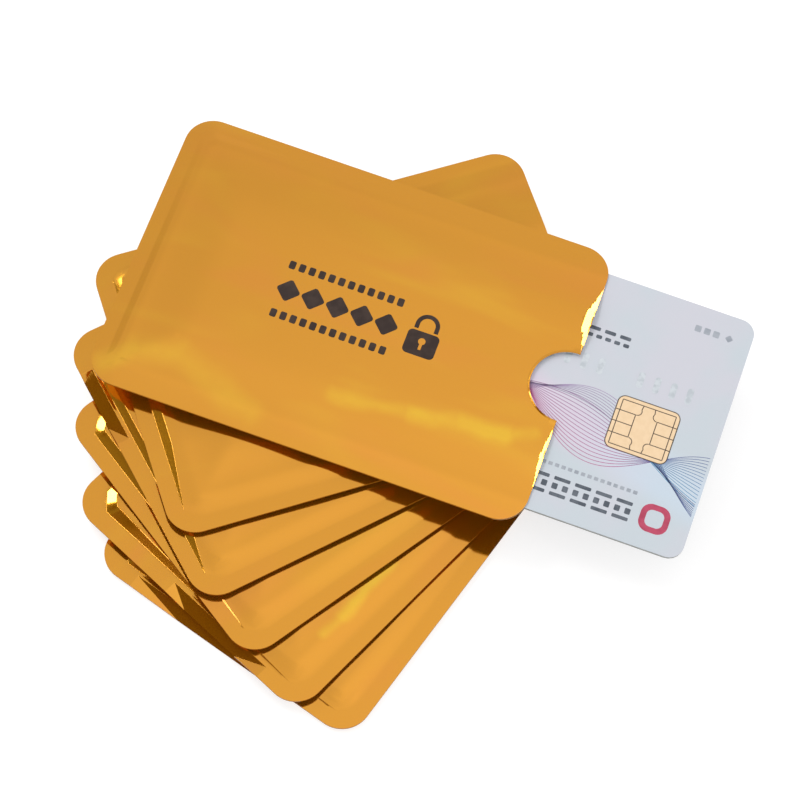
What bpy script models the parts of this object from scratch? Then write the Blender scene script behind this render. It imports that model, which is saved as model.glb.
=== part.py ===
"""Six foil card sleeves lying fanned out, with a bank card standing out of the top one.

A sleeve is a die-cut laminate of gold film, aluminium foil and a heat-sealed pouch, formed so
that its pocket stands up from the sealed margin. All its layers are raised from one flat net of
points, so they stay parallel over every step. The card is a stack of sheets round a chip and its
antenna. Metres, +Z up, origin under the middle of the fan.
"""

import math

import bmesh
import bpy
from mathutils import Vector
from mathutils.geometry import delaunay_2d_cdt

MM = 0.001

# The card, of the ISO ID-1 size
CARD_LENGTH = 85.60 * MM
CARD_WIDTH = 53.98 * MM
CARD_THICKNESS = 0.76 * MM
CARD_CORNER_RADIUS = 3.18 * MM
OVERLAY_THICKNESS = 0.05 * MM
INLAY_THICKNESS = 0.05 * MM
COIL_THICKNESS = 0.03 * MM
LAYER_GAP = 0.01 * MM

# The chip module, placed from the card's outer end and its lower edge
CHIP_FROM_END = 15.06 * MM
CHIP_FROM_EDGE = 23.89 * MM
PLATE_LENGTH = 13.0 * MM
PLATE_WIDTH = 11.8 * MM
PLATE_CORNER_RADIUS = 1.6 * MM
BODY_SIDE = 8.0 * MM
BODY_CORNER_RADIUS = 1.0 * MM
WINDOW_CLEARANCE = 0.05 * MM
ISLAND_WIDTH = 4.6 * MM
CONTACT_LENGTH = 3.0 * MM
GROOVE_WIDTH = 0.22 * MM
GROOVE_DEPTH = 0.03 * MM

# The antenna, a flat coil whose near legs pass under the chip
COIL_TURNS = 4
COIL_PITCH = 0.9 * MM
COIL_TRACK = 0.4 * MM
COIL_MARGIN = 2.4 * MM

# The magnetic stripe on the back
STRIPE_WIDTH = 12.7 * MM
STRIPE_FROM_EDGE = 4.2 * MM
STRIPE_THICKNESS = 0.02 * MM

# The room that a sleeve leaves round a card
SIDE_CLEARANCE = 0.31 * MM
FACE_CLEARANCE = 0.10 * MM
MOUTH_OVERHANG = 1.15 * MM

# The sealed margin and the shape of the pocket
SEAL_MARGIN = 2.8 * MM
STEP_RUN = 1.15 * MM
SHOULDER_RUN = 12.0 * MM
SLEEVE_CORNER_RADIUS = 6.0 * MM
EMPTY_STEP_LIFT = 0.25 * MM
EMPTY_SWELL = 0.53 * MM
FILLED_SWELL = 0.30 * MM

# The thumb notch
NOTCH_WIDTH = 15.2 * MM
NOTCH_DEPTH = 7.8 * MM

# The lips that a card bends up at the mouth, one on each side of the notch
LIP_RUN = 1.2 * MM
LIP_RISE = 0.55 * MM
LIP_CLEARANCE = 0.4 * MM
UPPER_LIP_SHARE = 1.0
LOWER_LIP_SHARE = 0.45

# The laminate
POUCH_WALL = 0.06 * MM
FOIL_THICKNESS = 0.04 * MM
FILM_THICKNESS = 0.08 * MM
BOND_GAP = 0.02 * MM

# How the fan lies
STACK_GAP = 0.10 * MM
CARD_EXPOSED = 31.6 * MM
TOP_TILT = 1.5
FAN_TURNS = (37.2, 47.5, 56.6, 66.0, 73.7)
FAN_SHIFT_SHARES = (
    (0.007, -0.038),
    (0.008, -0.123),
    (0.043, -0.194),
    (0.078, -0.271),
    (0.120, -0.302),
)

# Finer points
CUT_OVERRUN = 2.0 * MM
SHOULDER_SHARES = (0.2, 0.4, 0.6, 0.8, 1.0)
CORNER_STEPS = 5
FOOT_STEPS = 4
NOTCH_STEPS = 12
LIP_STEPS = 8
SMOOTH_ANGLE = 30.0

# What follows from the sizes above
SLEEVE_WIDTH = CARD_WIDTH + 2 * (SIDE_CLEARANCE + STEP_RUN + SEAL_MARGIN)
SLEEVE_LENGTH = CARD_LENGTH + SIDE_CLEARANCE + STEP_RUN + SEAL_MARGIN + MOUTH_OVERHANG
CLOSED_END = -SLEEVE_LENGTH / 2
MOUTH = SLEEVE_LENGTH / 2
POCKET_END = CLOSED_END + SEAL_MARGIN
POCKET_HALF_WIDTH = SLEEVE_WIDTH / 2 - SEAL_MARGIN
FOOT_RADIUS = CARD_CORNER_RADIUS + SIDE_CLEARANCE + STEP_RUN
LIP_START = NOTCH_WIDTH / 2 + LIP_CLEARANCE
LIP_END = SLEEVE_WIDTH / 2 - SLEEVE_CORNER_RADIUS - LIP_CLEARANCE
LIP_MIDDLE = (LIP_START + LIP_END) / 2
LIP_REACH = (LIP_END - LIP_START) / 2
FILLED_STEP_LIFT = CARD_THICKNESS / 2 + FACE_CLEARANCE
FOIL_OFFSET = POUCH_WALL + BOND_GAP
FILM_OFFSET = FOIL_OFFSET + FOIL_THICKNESS + BOND_GAP
LAMINATE = FILM_OFFSET + FILM_THICKNESS
EMPTY_HALF = EMPTY_STEP_LIFT + EMPTY_SWELL + LAMINATE
FILLED_HALF = FILLED_STEP_LIFT + FILLED_SWELL + LAMINATE
CHIP_X = CARD_LENGTH / 2 - CHIP_FROM_END
CHIP_Y = CHIP_FROM_EDGE - CARD_WIDTH / 2
CORE_THICKNESS = (
    CARD_THICKNESS - 2 * OVERLAY_THICKNESS - INLAY_THICKNESS - COIL_THICKNESS - 5 * LAYER_GAP
) / 2

GOLD_FILM = ("gold film", (0.67, 0.31, 0.045), 0.22, 0.9)
SHIELD_FOIL = ("aluminium foil", (0.80, 0.80, 0.81), 0.30, 1.0)
SEAL_FILM = ("heat seal film", (0.82, 0.83, 0.80), 0.45, 0.0)
CARD_FILM = ("card overlay", (0.66, 0.67, 0.74), 0.28, 0.0)
CARD_SHEET = ("card core", (0.86, 0.86, 0.84), 0.55, 0.0)
CARD_INLAY = ("card inlay", (0.75, 0.76, 0.72), 0.50, 0.0)
CONTACT_GOLD = ("contact plating", (0.83, 0.60, 0.32), 0.25, 1.0)
POTTING = ("chip potting", (0.02, 0.02, 0.022), 0.50, 0.0)
COPPER = ("antenna copper", (0.72, 0.33, 0.18), 0.35, 1.0)
STRIPE_TAPE = ("stripe tape", (0.03, 0.025, 0.02), 0.40, 0.0)


def clear_scene():
    for old in list(bpy.data.objects):
        bpy.data.objects.remove(old, do_unlink=True)


def material(finish):
    """The Principled material of one finish, made on first use."""
    name, colour, roughness, metallic = finish
    made = bpy.data.materials.get(name)
    if made is None:
        made = bpy.data.materials.new(name)
        made.use_nodes = True
        shader = made.node_tree.nodes["Principled BSDF"]
        shader.inputs["Base Color"].default_value = (*colour, 1.0)
        shader.inputs["Roughness"].default_value = roughness
        shader.inputs["Metallic"].default_value = metallic
        made.diffuse_color = (*colour, 1.0)
    return made


def arc(centre, radius, start, end, steps):
    """Points of an arc, its angles in degrees and both ends included."""
    angles = [math.radians(start + (end - start) * step / steps) for step in range(steps + 1)]
    return [Vector((centre[0] + radius * math.cos(a), centre[1] + radius * math.sin(a))) for a in angles]


def rounded_rectangle(length, width, radius, middle=(0, 0)):
    """Anticlockwise outline of a rectangle with round corners."""
    across, up = length / 2 - radius, width / 2 - radius
    outline = []
    for quarter, (side, rise) in enumerate(((1, 1), (-1, 1), (-1, -1), (1, -1))):
        centre = (middle[0] + side * across, middle[1] + rise * up)
        outline += arc(centre, radius, 90 * quarter, 90 * quarter + 90, CORNER_STEPS)
    return outline


def lip_bow(y):
    """Share of its full run that a lip has here. It narrows to nothing at its two ends."""
    from_middle = min(abs(abs(y) - LIP_MIDDLE) / LIP_REACH, 1)
    side_share = UPPER_LIP_SHARE if y > 0 else LOWER_LIP_SHARE
    return side_share * (1 + math.cos(math.pi * from_middle)) / 2


def lip_lift(x, y):
    """How far the lip is bent up at a point: it rises from its bowed crease to the mouth edge."""
    return LIP_RISE * max(lip_bow(y) - (MOUTH - x) / LIP_RUN, 0)


def lip_line(side, run):
    """Line along a lip in the order of rising Y: its crease, or with no run its edge."""
    turns = [math.pi * step / LIP_STEPS for step in range(LIP_STEPS + 1)]
    places = sorted(side * (LIP_MIDDLE + LIP_REACH * math.cos(turn)) for turn in turns)
    return [Vector((MOUTH - run * lip_bow(y), y)) for y in places]


def sleeve_outline(lip_sides=()):
    """Die line of a sleeve: four round corners, and the thumb notch in the mouth edge."""
    notch_radius = ((NOTCH_WIDTH / 2) ** 2 + NOTCH_DEPTH**2) / (2 * NOTCH_DEPTH)
    notch_centre = (MOUTH - NOTCH_DEPTH + notch_radius, 0)
    tip = math.degrees(math.atan2(NOTCH_WIDTH / 2, NOTCH_DEPTH - notch_radius))
    corners = rounded_rectangle(SLEEVE_LENGTH, SLEEVE_WIDTH, SLEEVE_CORNER_RADIUS)
    notch = arc(notch_centre, notch_radius, 360 - tip, tip, NOTCH_STEPS)
    edges = {side: lip_line(side, 0) if side in lip_sides else [] for side in (-1, 1)}
    return corners + edges[-1] + notch + edges[1]


def pocket_contour(inset):
    """Line round the pocket this far inside its foot. It is open at the mouth, and runs past it."""
    side = POCKET_HALF_WIDTH - inset
    end = POCKET_END + inset
    radius = max(FOOT_RADIUS - inset, 0)
    steps = FOOT_STEPS if radius > 0 else 0
    past_mouth = MOUTH + CUT_OVERRUN
    line = [Vector((past_mouth, side))]
    if steps:
        line += arc((end + radius, side - radius), radius, 90, 180, steps)
        line += arc((end + radius, radius - side), radius, 180, 270, steps)
    else:
        line += [Vector((end, side)), Vector((end, -side))]
    return line + [Vector((past_mouth, -side))]


def depth_in_pocket(x, y):
    """How far a point lies inside the foot of the pocket. It is below zero on the seal."""
    from_end = x - POCKET_END
    from_side = POCKET_HALF_WIDTH - abs(y)
    short_of_end = FOOT_RADIUS - from_end
    short_of_side = FOOT_RADIUS - from_side
    if short_of_end > 0 and short_of_side > 0:
        return FOOT_RADIUS - math.hypot(short_of_end, short_of_side)
    return min(from_end, from_side)


def pocket_lift(step_lift, swell):
    """Height of the pocket's inner face above the seal: a steep step, then an eased shoulder."""

    def lift(x, y):
        inside = depth_in_pocket(x, y)
        step_share = min(max(round(inside / STEP_RUN, 6), 0), 1)
        shoulder_share = min(max((inside - STEP_RUN) / SHOULDER_RUN, 0), 1)
        eased = (1 - math.cos(math.pi * shoulder_share)) / 2
        return step_lift * step_share + swell * eased

    return lift


def flat_net(loops, contours=()):
    """Points and anticlockwise triangles of a flat sheet. The first loop is its outline, others
    are holes, and every contour becomes a line of edges in it."""
    points, edges, faces = [], [], []
    for loop in loops:
        first = len(points)
        points += loop
        faces.append(list(range(first, len(points))))
    for contour in contours:
        first = len(points)
        points += contour
        edges += [(i, i + 1) for i in range(first, len(points) - 1)]
    whole_hull, welding_distance = 0, LAYER_GAP / 1000
    found = delaunay_2d_cdt(points, edges, faces, whole_hull, welding_distance)
    kept = [face for face, inside in zip(found[2], found[5]) if list(inside) == [0]]
    used = sorted({corner for face in kept for corner in face})
    index = {old: new for new, old in enumerate(used)}
    triangles = [[index[corner] for corner in face] for face in kept]
    return [found[0][old] for old in used], triangles


def border_of(triangles):
    """The directed edges that only one triangle has."""
    sides = {(face[i], face[i - 2]) for face in triangles for i in range(3)}
    return [side for side in sorted(sides) if (side[1], side[0]) not in sides]


def finish_mesh(name, points, faces):
    mesh = bpy.data.meshes.new(name)
    mesh.from_pydata(points, [], faces)
    mesh.shade_smooth()
    mesh.set_sharp_from_angle(angle=math.radians(SMOOTH_ANGLE))
    mesh.update()
    return mesh


def sheet_mesh(name, net, bottom, top):
    """Closed sheet over a flat net, between two heights that are functions of x and y."""
    flat, triangles = net
    count = len(flat)
    points = [(x, y, bottom(x, y)) for x, y in flat] + [(x, y, top(x, y)) for x, y in flat]
    faces = [face[::-1] for face in triangles]
    faces += [[corner + count for corner in face] for face in triangles]
    faces += [[a, b, b + count, a + count] for a, b in border_of(triangles)]
    return finish_mesh(name, points, faces)


def plate_mesh(name, loops, low, high):
    """Flat plate of constant thickness, with holes where more loops than one are given."""
    return sheet_mesh(name, flat_net(loops), lambda x, y: low, lambda x, y: high)


def pouch_mesh(name, net, ceiling, floor):
    """The sealed film: one solid on the seal, and two walls with the pocket open between them."""
    flat, triangles = net
    tops = [ceiling(x, y) for x, y in flat]
    bottoms = [floor(x, y) for x, y in flat]
    count = len(flat)
    points = [(x, y, top + POUCH_WALL) for (x, y), top in zip(flat, tops)]
    points += [(x, y, bottom - POUCH_WALL) for (x, y), bottom in zip(flat, bottoms)]
    front_inner, back_inner = {}, {}
    open_net = [
        face
        for face in triangles
        if all(depth_in_pocket(*flat[corner]) > -LAYER_GAP for corner in face)
        and any(tops[corner] > bottoms[corner] for corner in face)
    ]
    for corner in sorted({corner for face in open_net for corner in face}):
        x, y = flat[corner]
        front_inner[corner] = back_inner[corner] = len(points)
        points.append((x, y, tops[corner]))
        if tops[corner] > bottoms[corner]:
            back_inner[corner] = len(points)
            points.append((x, y, bottoms[corner]))
    faces = list(triangles)
    faces += [[corner + count for corner in face[::-1]] for face in triangles]
    faces += [[front_inner[corner] for corner in face[::-1]] for face in open_net]
    faces += [[back_inner[corner] for corner in face] for face in open_net]
    mouth_edges = set(border_of(open_net))
    for a, b in border_of(triangles):
        if (a, b) in mouth_edges:
            faces.append([front_inner[a], front_inner[b], b, a])
            faces.append([a + count, b + count, back_inner[b], back_inner[a]])
        else:
            wall = [a + count, b + count, front_inner.get(b), b, a, front_inner.get(a)]
            faces.append([corner for corner in wall if corner is not None])
    return finish_mesh(name, points, faces)


def sleeve_meshes(kind, step_lift, swell, lip_sides=()):
    """The five pieces of a sleeve, each with the finish that it has."""
    insets = [0, STEP_RUN] + [STEP_RUN + share * SHOULDER_RUN for share in SHOULDER_SHARES]
    creases = [lip_line(side, LIP_RUN) for side in lip_sides]
    net = flat_net([sleeve_outline(lip_sides)], [pocket_contour(inset) for inset in insets] + creases)
    lift = pocket_lift(step_lift, swell)

    def front(offset):
        return lambda x, y: lift(x, y) + (lip_lift(x, y) if lip_sides else 0) + offset

    def back(offset):
        return lambda x, y: -lift(x, y) - offset

    foil_top = FOIL_OFFSET + FOIL_THICKNESS
    return {
        "front_film": (
            sheet_mesh(kind + "_front_film", net, front(FILM_OFFSET), front(LAMINATE)),
            GOLD_FILM,
        ),
        "front_foil": (
            sheet_mesh(kind + "_front_foil", net, front(FOIL_OFFSET), front(foil_top)),
            SHIELD_FOIL,
        ),
        "inner_pouch": (pouch_mesh(kind + "_inner_pouch", net, front(0), back(0)), SEAL_FILM),
        "back_foil": (
            sheet_mesh(kind + "_back_foil", net, back(foil_top), back(FOIL_OFFSET)),
            SHIELD_FOIL,
        ),
        "back_film": (
            sheet_mesh(kind + "_back_film", net, back(LAMINATE), back(FILM_OFFSET)),
            GOLD_FILM,
        ),
    }


def add_object(name, mesh, finish, parent):
    if not mesh.materials:
        mesh.materials.append(material(finish))
    made = bpy.data.objects.new(name, mesh)
    made.parent = parent
    bpy.context.collection.objects.link(made)
    return made


def add_empty(name, parent, location=(0, 0, 0), turn=0.0, tilt=0.0):
    """A place in the fan: turned about Z, after its closed end is tilted up, in degrees."""
    made = bpy.data.objects.new(name, None)
    made.empty_display_size = SEAL_MARGIN
    made.parent = parent
    made.location = location
    made.rotation_euler = (0, math.radians(tilt), math.radians(turn))
    bpy.context.collection.objects.link(made)
    return made


def add_cutter(name, mesh, target):
    """Cuts a mesh, kept out of the render, from the target with a Boolean."""
    cutter = bpy.data.objects.new(name, mesh)
    cutter.parent = target.parent
    cutter.hide_render = True
    cutter.display_type = "WIRE"
    bpy.context.collection.objects.link(cutter)
    cut = target.modifiers.new(name, "BOOLEAN")
    cut.operation = "DIFFERENCE"
    cut.solver = "EXACT"
    cut.object = cutter


def block_mesh(name, low, high):
    """Box between two corners, for a cutter."""
    shape = bmesh.new()
    bmesh.ops.create_cube(shape, size=1.0)
    for corner in shape.verts:
        corner.co = [low[i] if corner.co[i] < 0 else high[i] for i in range(3)]
    mesh = bpy.data.meshes.new(name)
    shape.to_mesh(mesh)
    shape.free()
    return mesh


def coil_path():
    """Centre line of the coil: it starts and ends at the chip, on either side of its near legs."""
    near = CHIP_X + COIL_TURNS * COIL_PITCH / 2
    far = COIL_MARGIN - CARD_LENGTH / 2
    high = CARD_WIDTH / 2 - COIL_MARGIN
    path = [Vector((near, CHIP_Y))]
    for turn in range(COIL_TURNS):
        inset = turn * COIL_PITCH
        path.append(Vector((near - inset, high - inset)))
        path.append(Vector((far + inset, high - inset)))
        path.append(Vector((far + inset, inset - high)))
        path.append(Vector((near - inset - COIL_PITCH, inset - high)))
    path.append(Vector((near - COIL_TURNS * COIL_PITCH, CHIP_Y)))
    return path


def ribbon(path, width):
    """Outline of a flat track of this width along a path, with mitred corners."""
    sides = []
    for i, point in enumerate(path):
        before = (point - path[i - 1]).normalized() if i else (path[1] - point).normalized()
        after = (path[i + 1] - point).normalized() if i + 1 < len(path) else before
        along = (before + after).normalized()
        normal = Vector((-along.y, along.x))
        sides.append(normal * (width / 2) / max(along.dot(before), 0.1))
    left = [point + side for point, side in zip(path, sides)]
    right = [point - side for point, side in zip(path, sides)]
    return right + left[::-1]


def add_card(place):
    """The card's sheets from the back to the front, with its chip, antenna and stripe."""
    outline = rounded_rectangle(CARD_LENGTH, CARD_WIDTH, CARD_CORNER_RADIUS)
    chip = (CHIP_X, CHIP_Y)
    plate = rounded_rectangle(PLATE_LENGTH, PLATE_WIDTH, PLATE_CORNER_RADIUS, chip)
    window = rounded_rectangle(
        PLATE_LENGTH + 2 * WINDOW_CLEARANCE,
        PLATE_WIDTH + 2 * WINDOW_CLEARANCE,
        PLATE_CORNER_RADIUS + WINDOW_CLEARANCE,
        chip,
    )
    body = rounded_rectangle(BODY_SIDE, BODY_SIDE, BODY_CORNER_RADIUS, chip)
    body_hole_side = BODY_SIDE + 2 * WINDOW_CLEARANCE
    body_hole = rounded_rectangle(
        body_hole_side, body_hole_side, BODY_CORNER_RADIUS + WINDOW_CLEARANCE, chip
    )
    track = ribbon(coil_path(), COIL_TRACK)
    layers = (
        ("card_back_overlay", [outline], OVERLAY_THICKNESS, CARD_FILM),
        ("card_back_core", [outline], CORE_THICKNESS, CARD_SHEET),
        ("card_antenna_inlay", [outline], INLAY_THICKNESS, CARD_INLAY),
        ("card_antenna_coil", [track], COIL_THICKNESS, COPPER),
        ("card_front_core", [outline, body_hole], CORE_THICKNESS, CARD_SHEET),
        ("card_front_overlay", [outline, window], OVERLAY_THICKNESS, CARD_FILM),
    )
    made = {}
    heights = {}
    level = -CARD_THICKNESS / 2
    for name, loops, thickness, finish in layers:
        mesh = plate_mesh(name, loops, level, level + thickness)
        made[name] = add_object(name, mesh, finish, place)
        heights[name] = (level, level + thickness)
        level += thickness + LAYER_GAP
    body_mesh = plate_mesh("card_chip_body", [body], *heights["card_front_core"])
    add_object("card_chip_body", body_mesh, POTTING, place)
    plate_mesh_made = plate_mesh("card_contact_plate", [plate], *heights["card_front_overlay"])
    contact_plate = add_object("card_contact_plate", plate_mesh_made, CONTACT_GOLD, place)
    cut_contact_grooves(contact_plate, heights["card_front_overlay"][1])
    add_stripe(place, made["card_back_overlay"], heights["card_back_overlay"][0])


def cut_contact_grooves(contact_plate, top):
    """Grooves that part the eight contacts from each other and from the island in the middle."""
    low, high = top - GROOVE_DEPTH, top + CUT_OVERRUN
    half = GROOVE_WIDTH / 2
    for name, side in (("outer", 1), ("inner", -1)):
        line = CHIP_X + side * ISLAND_WIDTH / 2
        cutter = block_mesh(
            "groove_" + name,
            (line - half, CHIP_Y - PLATE_WIDTH / 2 - CUT_OVERRUN, low),
            (line + half, CHIP_Y + PLATE_WIDTH / 2 + CUT_OVERRUN, high),
        )
        add_cutter("groove_" + name, cutter, contact_plate)
        for row in (-1, 0, 1):
            rung = CHIP_Y + row * CONTACT_LENGTH
            ends = sorted((line, CHIP_X + side * (PLATE_LENGTH / 2 + CUT_OVERRUN)))
            label = "groove_{}_{}".format(name, row + 2)
            cutter = block_mesh(label, (ends[0], rung - half, low), (ends[1], rung + half, high))
            add_cutter(label, cutter, contact_plate)


def add_stripe(place, overlay, bottom):
    """Magnetic stripe, flush in a recess along the whole length of the back overlay."""
    low_edge = STRIPE_FROM_EDGE - CARD_WIDTH / 2
    high_edge = low_edge + STRIPE_WIDTH
    recess = block_mesh(
        "stripe_recess",
        (-CARD_LENGTH / 2 - CUT_OVERRUN, low_edge - WINDOW_CLEARANCE, bottom - CUT_OVERRUN),
        (
            CARD_LENGTH / 2 + CUT_OVERRUN,
            high_edge + WINDOW_CLEARANCE,
            bottom + STRIPE_THICKNESS + LAYER_GAP,
        ),
    )
    add_cutter("stripe_recess", recess, overlay)
    stripe = block_mesh(
        "card_magnetic_stripe",
        (-CARD_LENGTH / 2, low_edge, bottom),
        (CARD_LENGTH / 2, high_edge, bottom + STRIPE_THICKNESS),
    )
    add_object("card_magnetic_stripe", stripe, STRIPE_TAPE, place)


def add_sleeve(number, pieces, place):
    for piece, (mesh, finish) in pieces.items():
        add_object("sleeve_{}_{}".format(number, piece), mesh, finish, place)


def add_fan(fan):
    """Sleeves from the bottom one, number 6, up to number 1, which holds the card."""
    empty_pieces = sleeve_meshes("empty", EMPTY_STEP_LIFT, EMPTY_SWELL)
    filled_pieces = sleeve_meshes("filled", FILLED_STEP_LIFT, FILLED_SWELL, lip_sides=(-1, 1))
    height = EMPTY_HALF
    lower = list(enumerate(zip(FAN_SHIFT_SHARES, FAN_TURNS), start=2))
    for number, ((shift_x, shift_y), turn) in reversed(lower):
        location = (shift_x * SLEEVE_LENGTH, shift_y * SLEEVE_LENGTH, height)
        place = add_empty("sleeve_{}_place".format(number), fan, location, turn)
        add_sleeve(number, empty_pieces, place)
        height += 2 * EMPTY_HALF + STACK_GAP
    resting = height - EMPTY_HALF
    tilt = math.radians(TOP_TILT)
    top_height = resting + MOUTH * math.sin(tilt) + FILLED_HALF * math.cos(tilt)
    top_place = add_empty("sleeve_1_place", fan, (0, 0, top_height), tilt=TOP_TILT)
    add_sleeve(1, filled_pieces, top_place)
    card_middle = MOUTH + CARD_EXPOSED - CARD_LENGTH / 2
    add_card(add_empty("card_place", top_place, (card_middle, 0, 0)))


def centre_over_origin(fan):
    """Moves the fan so that the middle of its bounding box stands over the origin."""
    bpy.context.view_layer.update()
    corners = [
        made.matrix_world @ vertex.co
        for made in bpy.data.objects
        if made.type == "MESH" and not made.hide_render
        for vertex in made.data.vertices
    ]
    for axis in range(2):
        values = [corner[axis] for corner in corners]
        fan.location[axis] -= (min(values) + max(values)) / 2


clear_scene()
fan_place = add_empty("fan_place", None)
add_fan(fan_place)
centre_over_origin(fan_place)
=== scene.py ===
"""Looks of six gold foil card sleeves, lying fanned out, with a bank card standing out of the top one.

Every layer of a sleeve is one flat net that a geometry tree forms like the real laminate: a step
inside the sealed margin, a low swell over the pocket and a lip curled up at the mouth. The card
has its print, its chip with parted contacts, and its stripe. Metres, +Z up, in the solids' frame.
"""

import math

import bmesh
import bpy
from mathutils import Euler, Matrix, Vector
from mathutils.geometry import delaunay_2d_cdt


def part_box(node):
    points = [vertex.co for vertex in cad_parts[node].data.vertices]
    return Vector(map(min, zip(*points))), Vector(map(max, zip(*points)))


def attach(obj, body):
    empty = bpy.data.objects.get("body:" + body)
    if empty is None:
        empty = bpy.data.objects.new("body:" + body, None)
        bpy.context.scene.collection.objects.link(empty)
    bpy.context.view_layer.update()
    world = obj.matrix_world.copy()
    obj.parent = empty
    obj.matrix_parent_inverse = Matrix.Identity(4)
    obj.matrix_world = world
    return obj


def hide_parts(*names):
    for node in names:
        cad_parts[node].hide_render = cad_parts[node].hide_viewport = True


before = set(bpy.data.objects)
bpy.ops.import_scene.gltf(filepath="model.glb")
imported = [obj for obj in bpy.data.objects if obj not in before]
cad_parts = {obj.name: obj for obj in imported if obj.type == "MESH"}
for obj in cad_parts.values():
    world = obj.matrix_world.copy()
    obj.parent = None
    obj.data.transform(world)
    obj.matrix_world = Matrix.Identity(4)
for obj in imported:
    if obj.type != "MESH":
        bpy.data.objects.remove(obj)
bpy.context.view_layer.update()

MM = 0.001

# The card and its chip, in the card's own frame
CARD_LENGTH = 85.60 * MM
CARD_WIDTH = 53.98 * MM
CARD_THICKNESS = 0.76 * MM
CARD_CORNER = 3.18 * MM
OVERLAY_THICKNESS = 0.05 * MM
CARD_EXPOSED = 31.6 * MM
CARD_FACE = CARD_THICKNESS / 2
CHIP_PLACE = (CARD_LENGTH / 2 - 15.06 * MM, 23.89 * MM - CARD_WIDTH / 2)
CHIP_LENGTH = 13.0 * MM
CHIP_WIDTH = 11.8 * MM
CHIP_CORNER = 1.6 * MM
WINDOW_CLEARANCE = 0.05 * MM

# The sleeve and its laminate
SLEEVE_LENGTH = 91.01 * MM
SLEEVE_WIDTH = 62.50 * MM
SLEEVE_CORNER = 6.0 * MM
NOTCH_WIDTH = 15.2 * MM
NOTCH_DEPTH = 7.8 * MM
POUCH_WALL = 0.06 * MM
FOIL_THICKNESS = 0.04 * MM
FILM_THICKNESS = 0.08 * MM
BOND_GAP = 0.02 * MM
FOIL_OFFSET = POUCH_WALL + BOND_GAP
FILM_OFFSET = FOIL_OFFSET + FOIL_THICKNESS + BOND_GAP
INNER_TRIM = 0.12 * MM
MOUTH = SLEEVE_LENGTH / 2
NOTCH_RADIUS = ((NOTCH_WIDTH / 2) ** 2 + NOTCH_DEPTH**2) / (2 * NOTCH_DEPTH)
NOTCH_CENTRE = MOUTH - NOTCH_DEPTH + NOTCH_RADIUS

# How a pocket is formed: it rises all round from its foot, and swells further in
FORMS = {
    "empty": {
        "Foot inset": 3.2 * MM,
        "Foot radius": 4.6 * MM,
        "Ramp run": 4.4 * MM,
        "Ramp lift": 0.25 * MM,
        "Ramp ease": 0.5,
        "Swell": 0.53 * MM,
        "Lip rise": 0.0,
        "Rim rise": 0.0,
    },
    "filled": {
        "Foot inset": 0.0,
        "Foot radius": 6.0 * MM,
        "Ramp run": 5.0 * MM,
        "Ramp lift": 0.49 * MM,
        "Ramp ease": 0.0,
        "Swell": 0.29 * MM,
        "Lip rise": 0.67 * MM,
        "Rim rise": 0.12 * MM,
    },
}
FORMS_IN_COMMON = {
    "Shoulder run": 12.0 * MM,
    "Half length": SLEEVE_LENGTH / 2,
    "Half width": SLEEVE_WIDTH / 2,
    "Lip run": 1.9 * MM,
    "Lip peak": 15.6 * MM,
    "Lip reach": 8.6 * MM,
    "Lower lip share": 0.45,
    "Rim run": 0.40 * MM,
    "Notch centre": NOTCH_CENTRE,
    "Notch radius": NOTCH_RADIUS,
}

# The crisp fold across the closed end, one for each sleeve. It runs out to a point near the lower
# corner and turns the upper corner by a chamfer.
FOLD_SIZES = ("Fold inset", "Fold width", "Fold chamfer", "Fold slant", "Full fold at")
FOLD_SLOPES = ("Lower slope", "Upper slope", "Slope turns at")
FOLDS = {
    1: ((2.9, 1.5, 2.5, 0.0, -24.0), (0.03, 0.03, 0.0)),
    2: ((3.5, 1.9, 1.6, -0.3, -12.0), (0.145, 0.150, 16.0)),
    3: ((3.2, 1.7, 2.8, 0.0, -17.0), (0.15, 0.15, 0.0)),
    4: ((3.2, 2.0, 2.9, 0.0, 10.0), (0.115, 0.17, -6.0)),
    5: ((3.6, 2.2, 3.0, 0.0, 24.0), (0.115, 0.17, 18.0)),
    6: ((3.4, 1.6, 3.0, 0.0, 24.0), (0.16, 0.16, 0.0)),
}
FOLD_POINT = -26.0 * MM
FOLD_FADE = (-38.0 * MM, -22.0 * MM)

# How the sleeves lie, from the top one to the bottom one
TURNS = (0.0, 37.2, 47.5, 56.6, 66.0, 73.7)
TOP_TILT = 1.5
HALF_HEIGHT = 1.0 * MM

# Fineness of the nets
EVEN_STEP = 2.4 * MM
CORNER_POINTS = 14
SHARP_ANGLE = 50.0

# Lines of a sleeve's net: points along the fold and the lip, and distances in millimetres past the
# fold and back from the mouth
UPPER_STEPS = 20
END_STEPS = 40
LIP_STEPS = 16
PAST_FOLD = (0.08, 0.2, 0.4, 0.7, 1.0, 1.35, 1.7, 2.1, 2.5, 2.9, 3.3, 3.7, 4.2, 5, 6, 7, 8, 9.2, 10.5, 12)
BACK_FROM_MOUTH = (0.1, 0.25, 0.4, 0.6, 0.85, 1.1, 1.35, 1.6, 1.9, 2.3)
POCKET_CORNER = SLEEVE_CORNER + 1.7 * MM
SHARPEST_CORNER = 1.2 * MM
NET_OVERHANG = 0.2 * MM
BEND_RADIUS = 0.05 * MM
BEND_STEP = 0.5 * MM
MOUTH_STEP = 0.9 * MM
FIRST_INSET = 0.3 * MM
INSET_STEP = 0.25 * MM
INSETS = 12
UP_THE_FOLD = (0.0, 0.1, 0.3, 0.5, 0.7, 0.85, 0.93, 1.0)
FREE_COLUMNS = 28
FREE_ROWS = 12
FREE_PITCH = (2.6, 2.4)
FREE_START = -28

# How far apart the sleeves, and the backs and fronts of each, lie on the web that gives them streaks
WEB_STEP = 0.37
WEB_TO_BACK = 0.19

# Takes a front layer to the back
TURNED_OVER = Matrix.Scale(-1, 4, Vector((0, 0, 1)))

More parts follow.
